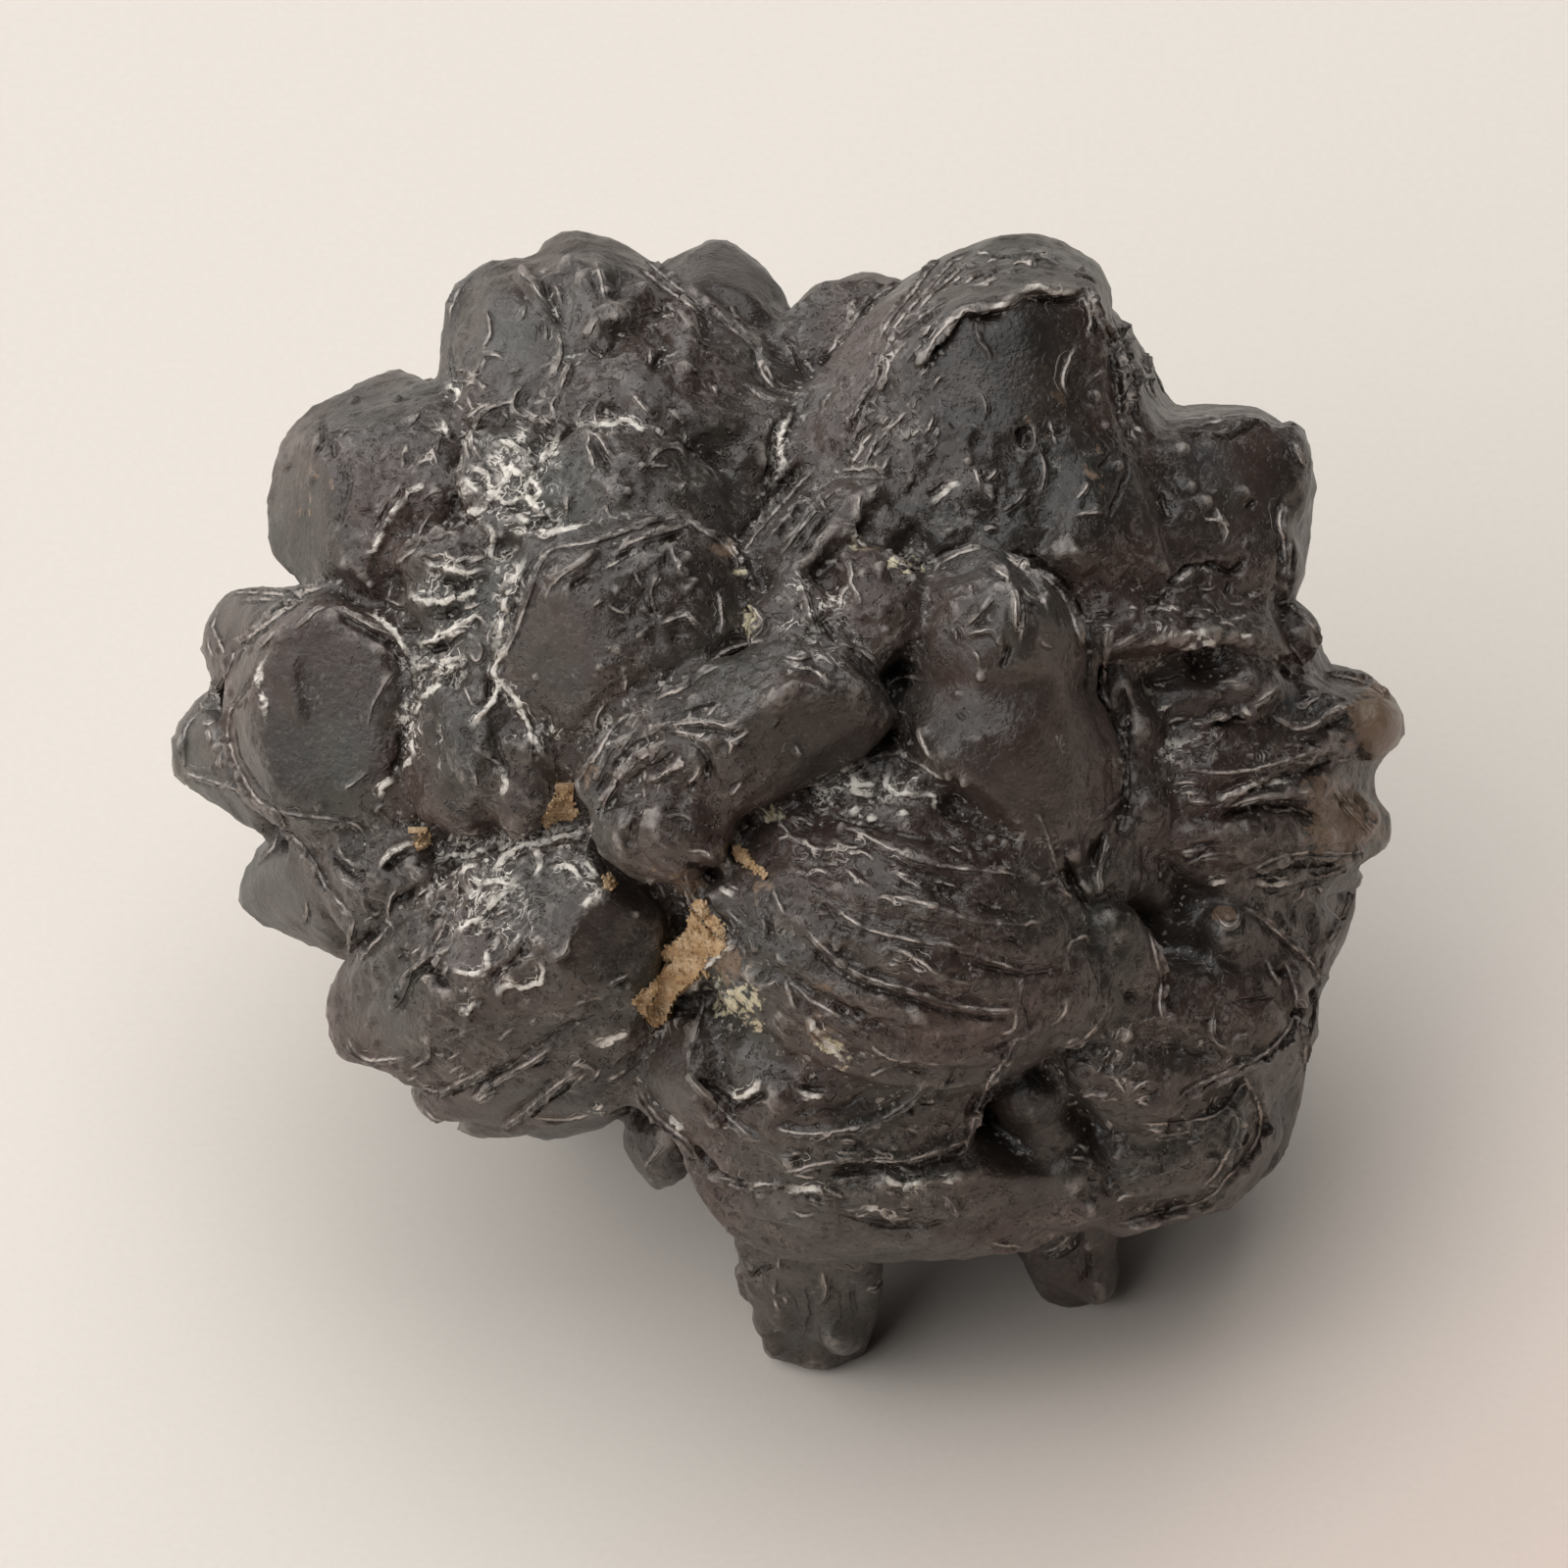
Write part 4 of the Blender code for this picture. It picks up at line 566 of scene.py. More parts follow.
carving["small ribs"] = [
    ("ridge", 11, 0.22, [699, 890, 704, 908, 714, 924, 727, 940, 739, 953, 749, 960, 758, 968]),
    ("dusty", 10, 0.16, [734, 904, 748, 913]),
    ("ridge", 11, 0.2, [741, 928, 754, 940, 767, 953, 771, 966, 764, 970]),
    ("groove", 12, 0.22, [712, 906, 724, 926, 738, 940, 752, 950]),
    ("ridge", 10, 0.14, [788, 905, 794, 920, 800, 932]),
    ("groove", 12, 0.2, [776, 918, 784, 940, 788, 962]),
    ("dusty", 10, 0.18, [749, 958, 742, 968, 730, 976, 720, 986, 712, 1000, 702, 1014]),
    ("ridge", 9, 0.12, [792, 976, 804, 983], [800, 1000, 806, 1016, 812, 1030]),
    ("swell", 24, 0.2, [720, 860, 740, 880, 766, 900, 778, 930]),
    ("ridge", 10, 0.12, [702, 868, 716, 868, 730, 876]),
    ("groove", 14, 0.2, [700, 880, 716, 884, 734, 894]),
    ("ridge", 9, 0.14, [718, 1014, 716, 1030, 711, 1046, 708, 1060]),
    ("ridge", 9, 0.12, [770, 1006, 784, 1004, 792, 998]),
    ("knob", 12, 0.14, [734, 1004, 746, 1010, 752, 1024, 758, 1034, 768, 1042, 722, 1036]),
]
carving["front block"] = [
    ("ridge", 12, 0.22, [651, 1108, 657, 1122, 667, 1135, 680, 1148, 694, 1158, 705, 1170, 714, 1184]),
    ("dusty", 9, 0.16, [682, 1138, 690, 1147, 698, 1152]),
    ("ridge", 12, 0.22, [700, 1092, 708, 1104, 722, 1118, 735, 1130, 748, 1143, 760, 1155, 772, 1164]),
    ("groove", 14, 0.25, [710, 1094, 724, 1108, 740, 1122, 752, 1136]),
    ("groove", 12, 0.2, [660, 1112, 672, 1128, 686, 1140, 702, 1152]),
    ("knob", 58, 0.35, [760, 1076]),
    ("dusty", 11, 0.2, [741, 1113, 754, 1118, 768, 1112, 776, 1098]),
    ("groove", 12, 0.22, [734, 1112, 748, 1124, 766, 1124, 782, 1112]),
    ("ridge", 9, 0.12, [705, 1066, 701, 1086]),
    ("groove", 10, 0.16, [712, 1060, 708, 1080]),
    ("ridge", 10, 0.14, [676, 1167, 667, 1179, 657, 1191]),
    ("groove", 10, 0.14, [697, 1172, 706, 1180, 704, 1194]),
    ("dusty", 9, 0.16, [814, 1112, 828, 1117, 842, 1118]),
    ("groove", 11, 0.14, [812, 1106, 828, 1110, 846, 1110]),
    ("groove", 24, 0.35, [812, 1128, 836, 1132, 864, 1126, 884, 1112]),
    ("ridge", 16, 0.18, [790, 1150, 820, 1156, 860, 1152, 900, 1140, 930, 1120, 946, 1098]),
    ("groove", 14, 0.16, [930, 1118, 950, 1124, 965, 1110, 975, 1092]),
    ("dusty", 10, 0.2, [804, 1213, 820, 1214, 834, 1211, 840, 1226]),
    ("groove", 10, 0.2, [806, 1218, 822, 1220, 832, 1224]),
    ("ridge", 9, 0.16, [846, 1207, 868, 1201, 896, 1199]),
    ("dusty", 14, 0.22, [897, 1196, 910, 1205, 926, 1208, 946, 1205]),
    ("knob", 16, 0.18, [858, 1178, 866, 1174, 876, 1171]),
    ("dusty", 9, 0.14, [960, 1206, 976, 1203]),
    ("ridge", 10, 0.16, [958, 1217, 972, 1228, 976, 1241]),
    ("dusty", 8, 0.12, [880, 1232, 895, 1233, 905, 1240, 916, 1246]),
    ("groove", 24, 0.35, [838, 1200, 870, 1192, 900, 1188, 930, 1190, 960, 1184, 990, 1172]),
    ("lip", 20, 0.4, [800, 1196, 840, 1186, 880, 1184, 920, 1184, 950, 1176, 984, 1164]),
    ("lip", 18, 0.3, [720, 1196, 760, 1206, 800, 1208]),
    ("ridge", 9, 0.12, [1010, 1268, 1026, 1270, 1042, 1272]),
    ("ridge", 11, 0.2, [1036, 1061, 1026, 1080, 1010, 1100, 1001, 1120, 993, 1142, 988, 1162]),
    ("ridge", 13, 0.3, [1031, 1290, 1042, 1302, 1054, 1320]),
    ("swell", 34, 0.4, [792, 1328, 798, 1352]),
    ("swell", 32, 0.35, [850, 1342, 846, 1374]),
    ("groove", 24, 0.12, [822, 1306, 828, 1336, 820, 1368]),
    ("groove", 20, 0.1, [868, 1306, 872, 1346]),
    ("ridge", 13, 0.2, [838, 1296, 842, 1318, 836, 1330]),
    ("swell", 30, 0.35, [1090, 1290, 1094, 1316]),
    ("groove", 20, 0.12, [1108, 1272, 1112, 1310]),
    ("ridge", 11, 0.18, [1060, 1276, 1076, 1273, 1090, 1262, 1100, 1248]),
    ("groove", 13, 0.3, [1058, 1284, 1078, 1281, 1096, 1270, 1106, 1254]),
    ("groove", 10, 0.16, [768, 1304, 778, 1294, 791, 1289]),
    ("groove", 9, 0.12, [775, 1262, 786, 1268]),
    ("knob", 12, 0.14, [852, 1318, 888, 1312, 776, 1218, 1006, 1254, 912, 1168, 893, 1145, 928, 1136,
        1110, 1270]),
    ("ridge", 9, 0.12, [884, 1316, 894, 1310, 898, 1302], [898, 1338, 892, 1352]),
    ("groove", 16, 0.08, [850, 1232, 890, 1246, 930, 1250, 970, 1244]),
    ("dusty", 13, 0.24, [822, 1038, 836, 1054, 850, 1070, 864, 1086]),
    ("swell", 26, 0.25, [760, 1232, 800, 1240, 836, 1246]),
    ("groove", 12, 0.16, [796, 1176, 812, 1180, 818, 1194]),
    ("knob", 20, 0.16, [806, 1184, 730, 1144, 742, 1140]),
    ("ridge", 9, 0.14, [985, 1160, 986, 1172, 976, 1178]),
    ("groove", 10, 0.14, [950, 1150, 960, 1162, 972, 1150]),
    ("knob", 9, 0.12, [1054, 1177, 1106, 1172, 1110, 1186, 1099, 1211, 1115, 1216, 1141, 1178, 1132, 1205]),
    ("ridge", 9, 0.12, [1100, 1166, 1108, 1172]),
]
carving["lower left blades"] = [
    ("ridge", 13, 0.25, [458, 930, 452, 945, 444, 962, 434, 978, 421, 990, 415, 1005, 408, 1020, 396, 1032]),
    ("ridge", 10, 0.16, [460, 964, 450, 972, 445, 984, 443, 994]),
    ("dusty", 12, 0.22, [460, 989, 478, 992, 494, 991, 498, 972, 510, 954]),
    ("dusty", 13, 0.25, [386, 884, 398, 871, 413, 863, 424, 858]),
    ("groove", 12, 0.3, [392, 888, 404, 876, 418, 868]),
    ("ridge", 10, 0.16, [361, 936, 358, 955, 355, 978]),
    ("groove", 12, 0.3, [388, 948, 372, 958, 362, 972, 356, 984]),
    ("ridge", 9, 0.14, [392, 950, 378, 966, 366, 980]),
    ("dusty", 10, 0.16, [467, 1028, 476, 1032, 482, 1024, 488, 1022]),
    ("ridge", 14, 0.14, [352, 1052, 360, 1070, 374, 1081, 396, 1080, 414, 1078]),
    ("ridge", 10, 0.16, [418, 1090, 430, 1083, 438, 1076, 437, 1064]),
    ("ridge", 10, 0.14, [452, 1062, 466, 1056, 482, 1048]),
    ("ridge", 9, 0.14, [454, 1082, 464, 1076, 470, 1072]),
    ("ridge", 10, 0.18, [426, 1102, 440, 1112, 455, 1112, 468, 1104, 484, 1096, 502, 1086]),
    ("groove", 18, 0.6, [452, 1118, 474, 1108, 498, 1098, 522, 1086, 546, 1070, 568, 1054, 590, 1044,
        612, 1034]),
    ("ridge", 11, 0.2, [478, 1122, 498, 1107, 520, 1094, 545, 1080, 562, 1068]),
    ("ridge", 10, 0.22, [512, 1150, 530, 1138, 546, 1124, 560, 1112, 576, 1100, 590, 1091, 598, 1088]),
    ("groove", 14, 0.4, [520, 1152, 538, 1140, 554, 1126, 570, 1113, 588, 1102]),
    ("ridge", 9, 0.14, [590, 1087, 598, 1086, 606, 1093]),
    ("ridge", 9, 0.12, [545, 1140, 575, 1142, 604, 1136]),
    ("ridge", 12, 0.12, [428, 1128, 446, 1142, 470, 1148]),
    ("dusty", 10, 0.16, [608, 1068, 622, 1062, 636, 1054, 646, 1048]),
    ("dusty", 10, 0.18, [608, 1136, 612, 1130, 616, 1140]),
    ("ridge", 9, 0.14, [622, 1138, 632, 1134, 642, 1130]),
    ("dusty", 10, 0.2, [505, 1012, 520, 1004, 528, 1008, 540, 1004, 552, 1000, 554, 986, 546, 982]),
    ("ridge", 12, 0.2, [582, 954, 574, 972, 560, 978]),
    ("groove", 16, 0.35, [540, 960, 524, 980, 506, 992, 500, 1004]),
    ("dusty", 9, 0.14, [595, 925, 604, 914]),
    ("ridge", 9, 0.12, [620, 1005, 632, 998, 642, 994]),
    ("knob", 10, 0.14, [648, 932, 632, 1007, 640, 1004, 664, 896, 384, 1064, 383, 1015, 476, 1030, 490, 1024,
        379, 1042, 376, 1046, 510, 1012]),
    ("ridge", 9, 0.12, [585, 1026, 600, 1020, 616, 1018]),
    ("groove", 18, 0.35, [420, 1000, 434, 984, 450, 1000, 462, 1014]),
    ("swell", 34, 0.3, [380, 1000, 400, 970, 430, 940]),
    ("ridge", 9, 0.12, [396, 936, 397, 920, 404, 906]),
    ("groove", 12, 0.25, [400, 920, 416, 914, 430, 902]),
    ("ridge", 9, 0.12, [310, 946, 313, 930, 312, 918], [344, 860, 350, 874, 362, 882],
        [346, 896, 356, 900, 368, 908], [368, 912, 374, 926, 384, 934], [372, 940, 382, 934, 388, 930]),
    ("groove", 14, 0.3, [338, 868, 354, 886, 366, 896]),
    ("ridge", 8, 0.12, [404, 880, 407, 890, 414, 896]),
    ("swell", 26, 0.25, [420, 880, 430, 896, 424, 912]),
    ("ridge", 9, 0.14, [462, 896, 468, 910, 462, 924]),
    ("groove", 14, 0.3, [452, 910, 446, 930, 430, 946]),
    ("pit", 20, 0.3, [364, 894, 372, 888]),
    ("ridge", 12, 0.14, [262, 880, 280, 862, 282, 850]),
    ("dusty", 12, 0.18, [450, 880, 462, 870, 476, 874, 490, 866, 500, 874],
        [500, 892, 514, 874, 534, 862, 558, 857, 580, 851, 600, 847]),
    ("dusty", 13, 0.2, [524, 906, 508, 912, 500, 925, 488, 936, 475, 944, 462, 954]),
    ("dusty", 10, 0.16, [488, 906, 502, 897, 518, 901, 530, 892], [468, 892, 480, 881, 494, 886],
        [546, 864, 551, 880, 545, 894], [572, 880, 584, 885, 593, 899]),
]

# where short stray strokes lie: (middle x, middle y, reach across, reach down, angle, spread, how many)
strayZones = [
    (600, 340, 90, 50, 0, 90, 12), (500, 395, 50, 40, 0, 90, 14), (720, 350, 60, 50, 45, 25, 16),
    (600, 470, 120, 60, 0, 90, 18), (430, 480, 70, 70, -40, 50, 16), (900, 400, 60, 110, -58, 12, 42),
    (870, 470, 60, 50, 0, 90, 8), (1030, 275, 90, 20, -10, 30, 14), (1140, 390, 26, 80, 72, 10, 16),
    (1000, 500, 90, 40, 0, 90, 6), (1110, 480, 50, 60, 0, 90, 5), (1250, 530, 60, 60, 0, 90, 6),
    (1210, 620, 110, 30, 0, 25, 26), (1280, 760, 110, 80, -8, 12, 34), (1030, 640, 60, 50, 60, 40, 8),
    (680, 600, 70, 50, 60, 50, 14), (700, 770, 80, 50, -35, 20, 20), (450, 620, 50, 80, -10, 40, 30),
    (940, 930, 130, 70, 18, 8, 30), (830, 870, 40, 50, 20, 30, 16), (740, 930, 40, 60, 50, 20, 12),
    (880, 1130, 120, 60, -5, 25, 20), (890, 1220, 130, 30, 5, 20, 22), (1180, 1080, 90, 80, -20, 25, 18),
    (1180, 1190, 80, 40, -10, 20, 12), (520, 1080, 120, 40, -32, 12, 22), (480, 950, 90, 60, -45, 40, 22),
    (225, 700, 30, 80, 0, 90, 10), (820, 1310, 60, 50, 80, 20, 4),
]

# loose dust on the ledges and clefts: (middle x, middle y, reach across, reach down, amount)
dustSpots = [
    (515, 485, 66, 52, 0.7), (545, 470, 30, 60, 0.85), (480, 580, 50, 24, 0.8), (530, 530, 60, 20, 0.8),
    (620, 432, 60, 14, 0.9), (650, 470, 60, 40, 0.35), (560, 860, 60, 26, 1.0), (500, 905, 70, 34, 1.0),
    (870, 800, 70, 40, 0.8), (830, 640, 60, 50, 0.6), (1230, 640, 70, 30, 0.5), (1230, 765, 80, 20, 0.5),
    (450, 520, 60, 40, 0.5), (445, 610, 42, 26, 0.8), (445, 680, 40, 26, 0.9), (420, 740, 18, 50, 0.8),
    (640, 432, 60, 12, 0.6), (500, 870, 90, 30, 0.7), (560, 870, 60, 30, 1.0), (500, 930, 60, 45, 0.9),
    (470, 870, 40, 24, 0.8), (590, 905, 36, 24, 0.8), (520, 620, 20, 60, 0.8), (550, 745, 30, 36, 0.5),
    (640, 745, 50, 40, 0.5), (850, 665, 70, 36, 0.5), (820, 610, 30, 40, 0.5), (900, 800, 70, 26, 0.8),
    (850, 820, 36, 16, 0.6), (800, 440, 14, 60, 0.6), (740, 1010, 50, 26, 0.5), (1010, 856, 50, 14, 0.5),
    (1080, 905, 30, 14, 0.4), (1220, 660, 60, 30, 0.35), (1270, 765, 60, 14, 0.4), (1120, 1160, 60, 70, 0.3),
    (930, 575, 40, 20, 0.6), (480, 440, 30, 40, 0.5), (560, 420, 40, 30, 0.5), (340, 640, 70, 20, 0.3),
    (500, 1000, 60, 24, 0.5), (660, 1050, 60, 20, 0.5), (900, 1210, 60, 20, 0.5), (470, 775, 60, 50, 0.35),
    (800, 500, 30, 60, 0.35), (1140, 1090, 30, 40, 0.5), (720, 860, 40, 40, 0.3),
]

# fine ochre sand lying in the pockets: corners of each patch
sandPatches = {
    "largest": [
        (705, 918), (716, 914), (728, 930), (742, 948), (742, 962), (735, 974), (722, 982), (712, 998),
        (700, 1006), (690, 1018), (678, 1045), (666, 1048), (652, 1036), (644, 1022), (656, 1010),
        (672, 994), (684, 980), (670, 972), (684, 962), (698, 950),
    ],
    "upper": [
        (566, 800), (586, 800), (584, 816), (592, 830), (582, 838), (570, 838), (558, 846), (549, 838),
        (556, 826), (562, 814),
    ],
    "left": [
        (418, 862), (432, 850), (437, 840), (443, 862), (430, 866),
    ],
    "right": [
        (744, 864), (754, 856), (764, 872), (776, 882), (786, 890), (780, 898), (766, 888), (750, 878),
    ],
    "small": [
        (614, 893), (624, 890), (634, 902), (628, 908), (613, 905),
    ],
}

# stain patches; the dark ones are partly darker stone and partly painted shade, the pale ones partly lighter
# stone and partly painted highlight: (middle x, middle y, reach across, reach down, amount)
stainsAndPaintedLight = {
    "tan": [
        (1412, 735, 40, 50, 1.0), (1372, 836, 48, 44, 0.9), (1350, 800, 26, 14, 0.6),
        (838, 1050, 24, 20, 0.6), (600, 790, 26, 14, 0.5), (1250, 930, 16, 10, 1.0), (770, 905, 26, 20, 0.5),
        (745, 985, 20, 26, 0.8), (700, 900, 24, 20, 0.5), (830, 1010, 40, 16, 0.35),
        (1060, 420, 60, 60, 0.12), (610, 440, 20, 12, 0.4), (1115, 470, 30, 40, 0.25),
        (740, 560, 14, 12, 0.6), (430, 856, 16, 14, 0.8), (660, 900, 20, 20, 0.4), (320, 505, 34, 40, 0.25),
        (880, 550, 20, 14, 0.6),
    ],
    "yellow": [
        (922, 575, 30, 14, 0.9), (755, 582, 12, 10, 1.0), (765, 632, 12, 24, 0.9), (790, 830, 14, 14, 1.0),
        (868, 552, 24, 12, 0.7), (752, 1022, 34, 24, 1.0), (770, 1044, 16, 12, 0.8),
        (735, 1000, 16, 14, 0.7), (846, 1064, 22, 14, 1.0), (862, 1084, 14, 16, 0.9),
    ],
    "green": [
        (752, 1082, 46, 46, 0.9), (686, 1096, 40, 56, 0.8), (468, 750, 44, 100, 0.7),
        (400, 420, 80, 40, 0.6), (850, 780, 60, 30, 0.5), (520, 900, 60, 50, 0.6), (1160, 880, 50, 30, 0.4),
        (640, 620, 30, 40, 0.3), (740, 470, 40, 60, 0.6), (800, 330, 40, 40, 0.5), (1010, 1130, 60, 60, 0.5),
        (470, 620, 40, 30, 0.5), (1170, 700, 50, 40, 0.6), (600, 1110, 60, 30, 0.5), (870, 700, 40, 40, 0.5),
    ],
    # pale: partly lighter stone, partly painted highlight on lit facets
    "pale": [
        (1020, 620, 24, 34, 0.9), (582, 600, 22, 18, 0.7), (590, 575, 20, 18, 0.6), (900, 805, 60, 24, 0.8),
        (760, 1085, 32, 30, 0.6), (800, 1235, 60, 26, 0.6), (460, 970, 30, 40, 0.5), (588, 282, 28, 26, 1.0),
        (632, 328, 20, 18, 0.9), (696, 350, 14, 40, 0.6), (640, 325, 20, 18, 0.6), (1080, 290, 40, 8, 0.8),
        (720, 715, 40, 24, 0.4), (930, 700, 30, 24, 0.4),
    ],
    # dark: partly darker stone, partly painted shade on faces that the lamps light too brightly
    "dark": [
        (640, 965, 56, 46, 0.9), (600, 1100, 60, 40, 0.5), (1368, 738, 24, 16, 0.9), (290, 780, 60, 50, 0.6),
        (670, 1180, 40, 40, 0.7), (325, 545, 40, 60, 0.35), (285, 905, 50, 40, 0.35),
        (745, 275, 60, 40, 0.35), (1110, 510, 60, 50, 0.5), (1030, 785, 90, 70, 0.35),
        (470, 750, 40, 80, 0.3), (1400, 740, 40, 40, 0.3), (1040, 345, 62, 46, 1.0),
        (1000, 385, 80, 95, 0.9), (985, 525, 110, 26, 1.0), (1050, 470, 60, 60, 0.6),
        (1040, 420, 60, 50, 0.4), (960, 545, 60, 20, 0.9), (1185, 925, 60, 50, 1.0),
        (1240, 965, 56, 40, 1.0), (1310, 1150, 26, 90, 0.9), (1210, 712, 80, 34, 0.5),
        (1056, 1130, 66, 90, 1.0), (1120, 1200, 40, 40, 0.5), (835, 752, 90, 50, 0.9),
        (330, 680, 60, 50, 0.4), (690, 600, 60, 40, 0.4), (560, 940, 50, 30, 0.3), (1190, 500, 40, 60, 0.5),
        (1330, 1000, 24, 90, 0.5), (880, 1120, 60, 30, 0.4), (1115, 500, 60, 60, 1.0),
        (1390, 730, 36, 30, 0.4), (375, 415, 60, 30, 0.5), (1330, 500, 34, 100, 1.0),
        (1340, 640, 30, 60, 0.8), (1390, 690, 50, 16, 0.5), (1080, 510, 60, 60, 0.7),
        (1240, 425, 70, 16, 0.6),
    ],
    "blue": [
        (1330, 716, 40, 20, 0.9), (1014, 580, 26, 24, 0.8), (1225, 475, 34, 30, 0.7),
        (985, 590, 24, 24, 0.5), (1070, 480, 30, 40, 0.5), (590, 690, 20, 30, 0.4), (745, 265, 40, 20, 0.4),
    ],
    "red": [
        (1217, 638, 16, 10, 0.9), (1080, 660, 34, 44, 0.8), (900, 930, 130, 70, 0.4),
        (1290, 1040, 40, 40, 0.6), (1060, 760, 70, 60, 0.35), (600, 700, 60, 50, 0.35),
        (450, 1050, 70, 40, 0.4), (1000, 380, 60, 60, 0.3),
    ],
}

# faces of crystals that stay smooth: (middle x, middle y, reach across, reach down)
smoothSpots = [
    (1020, 370, 75, 70), (330, 730, 65, 100), (1030, 740, 90, 100), (308, 530, 32, 70), (575, 655, 45, 60),
    (525, 335, 45, 55), (745, 280, 50, 32), (830, 755, 70, 45), (1275, 490, 45, 50), (1110, 500, 50, 40),
    (280, 910, 40, 40), (215, 760, 30, 40), (225, 640, 30, 35), (620, 940, 50, 45), (830, 1340, 60, 50),
    (1060, 1160, 60, 60), (1200, 940, 60, 40), (1200, 700, 60, 35), (1400, 740, 35, 35), (900, 1120, 60, 30),
    (680, 1100, 26, 40), (1100, 1290, 40, 40), (385, 1050, 40, 30), (520, 1130, 70, 20), (1040, 670, 70, 60),
]

# small crystals in the clefts: (x, y, reach across, reach down, top's depth and thickness in mm, turn)
lumps = [
    (620, 396, 44, 56, 10.1, 2.4, -12), (606, 344, 20, 26, 8.9, 2.0, 20), (545, 536, 62, 20, 14.6, 1.6, 4),
    (846, 588, 22, 34, 16.5, 2.2, 10), (862, 560, 26, 20, 16.4, 2.0, -30), (906, 538, 34, 30, 15.7, 2.0, 0),
    (872, 804, 56, 30, 18.3, 2.8, 12), (935, 806, 52, 32, 18.3, 2.6, -8), (905, 778, 44, 24, 17.6, 3.0, 0),
    (1000, 842, 44, 24, 17.9, 2.2, -28), (1106, 898, 20, 34, 15.4, 2.0, 8),
    (1085, 870, 22, 20, 16.9, 2.0, 0), (1194, 702, 78, 46, 12.8, 3.2, -6),
    (1258, 696, 54, 40, 12.2, 3.4, -10), (1192, 934, 76, 56, 9.9, 2.6, 12),
    (1250, 950, 40, 38, 10.7, 2.6, -10), (1180, 905, 24, 30, 11.4, 2.4, 0),
    (1152, 892, 40, 40, 12.6, 3.4, 0), (1050, 1112, 50, 50, 11.2, 4.0, -14),
    (1064, 1150, 56, 56, 9.2, 4.0, -14), (1088, 1190, 48, 48, 8.6, 3.4, 0),
    (1096, 1226, 56, 32, 7.4, 3.4, 8), (1146, 1236, 34, 26, 5.6, 3.0, -12),
    (442, 506, 30, 48, 11.2, 2.4, -10), (770, 1310, 18, 22, -3.4, 1.6, 10),
    (782, 1345, 16, 18, -1.8, 1.6, -20), (858, 1352, 26, 34, -0.8, 1.6, 8),
    (700, 968, 46, 50, 13.2, 2.4, 10), (664, 1024, 26, 28, 11.8, 2.0, -20), (568, 822, 22, 26, 13.9, 2.0, 0),
    (762, 876, 18, 22, 16.4, 2.0, -30), (624, 408, 46, 28, 11.2, 2.6, 8), (764, 470, 58, 74, 11.4, 2.8, -16),
    (766, 1298, 18, 14, -2.6, 1.6, 0), (792, 1372, 16, 16, -3.2, 1.2, 0), (836, 1386, 30, 12, -3.6, 0.8, 6),
    (1216, 716, 50, 26, 11.4, 3.0, -8), (1160, 690, 30, 30, 12.6, 2.6, 0), (1150, 700, 40, 44, 13.8, 3.4, 0),
    (1314, 490, 27, 66, 8.0, 3.6, -4), (1306, 575, 25, 44, 8.5, 3.4, 0), (1325, 645, 24, 30, 8.2, 3.0, 20),
    (1398, 738, 36, 40, 6.4, 3.6, -10), (1378, 838, 34, 28, 5.8, 3.2, 10),
    (1120, 1296, 22, 40, -4.0, 2.0, 0), (1158, 745, 38, 80, 13.4, 3.2, 0), (1166, 825, 40, 50, 13.6, 3.2, 0),
]

stoneValues = {
    "closeVoxel": 0.24 * mm,
    "nudge": 0.00032 * mm,  # out and in again between the remeshes, too little to see
    "carveVoxel": 0.2 * mm,
    "broadWidth": 24,  # strokes at least this wide, or this high, go in before the surface is made finer
    "broadHeight": 0.4,
    "broadGain": 1.2, "fineGain": 1.7, "grooveGain": 0.8,
    "fanGain": 0.6, "fanGrooveGain": 0.6,
    "wayStep": 4.0,  # pixels between the places of a rounded stroke
    "longestStep": 1.0 * mm,  # a stroke breaks off where it would leap further than this
    "strokeReach": 1.7,  # half widths
    "unevenSize": 16, "crumblingSize": 9,  # pixels between the highs and lows along a stroke
    "swellSize": 2.6, "swellHeight": 0.2,
    "dentSize": 1.7, "dentHeight": 0.32,
    "wrinkleSize": 0.8, "wrinkleHeight": 0.16,
    "crumbSize": 0.55, "crumbHeight": 0.12,
    "smoothed": 0.85,  # how much of the relief the smooth faces lose
    "rim": 0.7,  # how smooth the rim is where the face turns away
    "cell": 8, "cells": 200, "seenDepth": 1.6 * mm,  # pixels in a cell, cells across, and what counts as seen
    "hiddenTriangles": 34000,
    "plainTriangles": 70000,
    "allTriangles": 193000,
    "lineSpacing": 0.17 * mm,
    "edgeRounds": 4, "hollowRounds": 14, "edgeGain": -18, "hollowGain": 9,
}

# short growth lines, knobs and nicks between the drawn ones: half lengths and widths in pixels, heights in mm
strayValues = {
    "seed": 21,
    "halfLength": (4, 13), "bend": (-0.3, 0.3), "width": (7.5, 12), "height": (0.06, 0.14),
    "kinds": ("ridge", "ridge", "ridge", "groove", "ridge", "knob"),
}


def stoneCopy():
    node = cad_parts["crystal_cluster"]
    stone = node.copy()
    stone.data = node.data.copy()
    stone.name = "stone"
    stone.data.name = "stone"
    stone.parent = None
    for key in [key for key in stone.keys() if key.startswith("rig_")]:
        del stone[key]
    bpy.context.scene.collection.objects.link(stone)
    mesh = bmesh.new()
    mesh.from_mesh(stone.data)
    bmesh.ops.remove_doubles(mesh, verts=mesh.verts, dist=0.001 * mm)
    mesh.to_mesh(stone.data)
    mesh.free()
    return stone


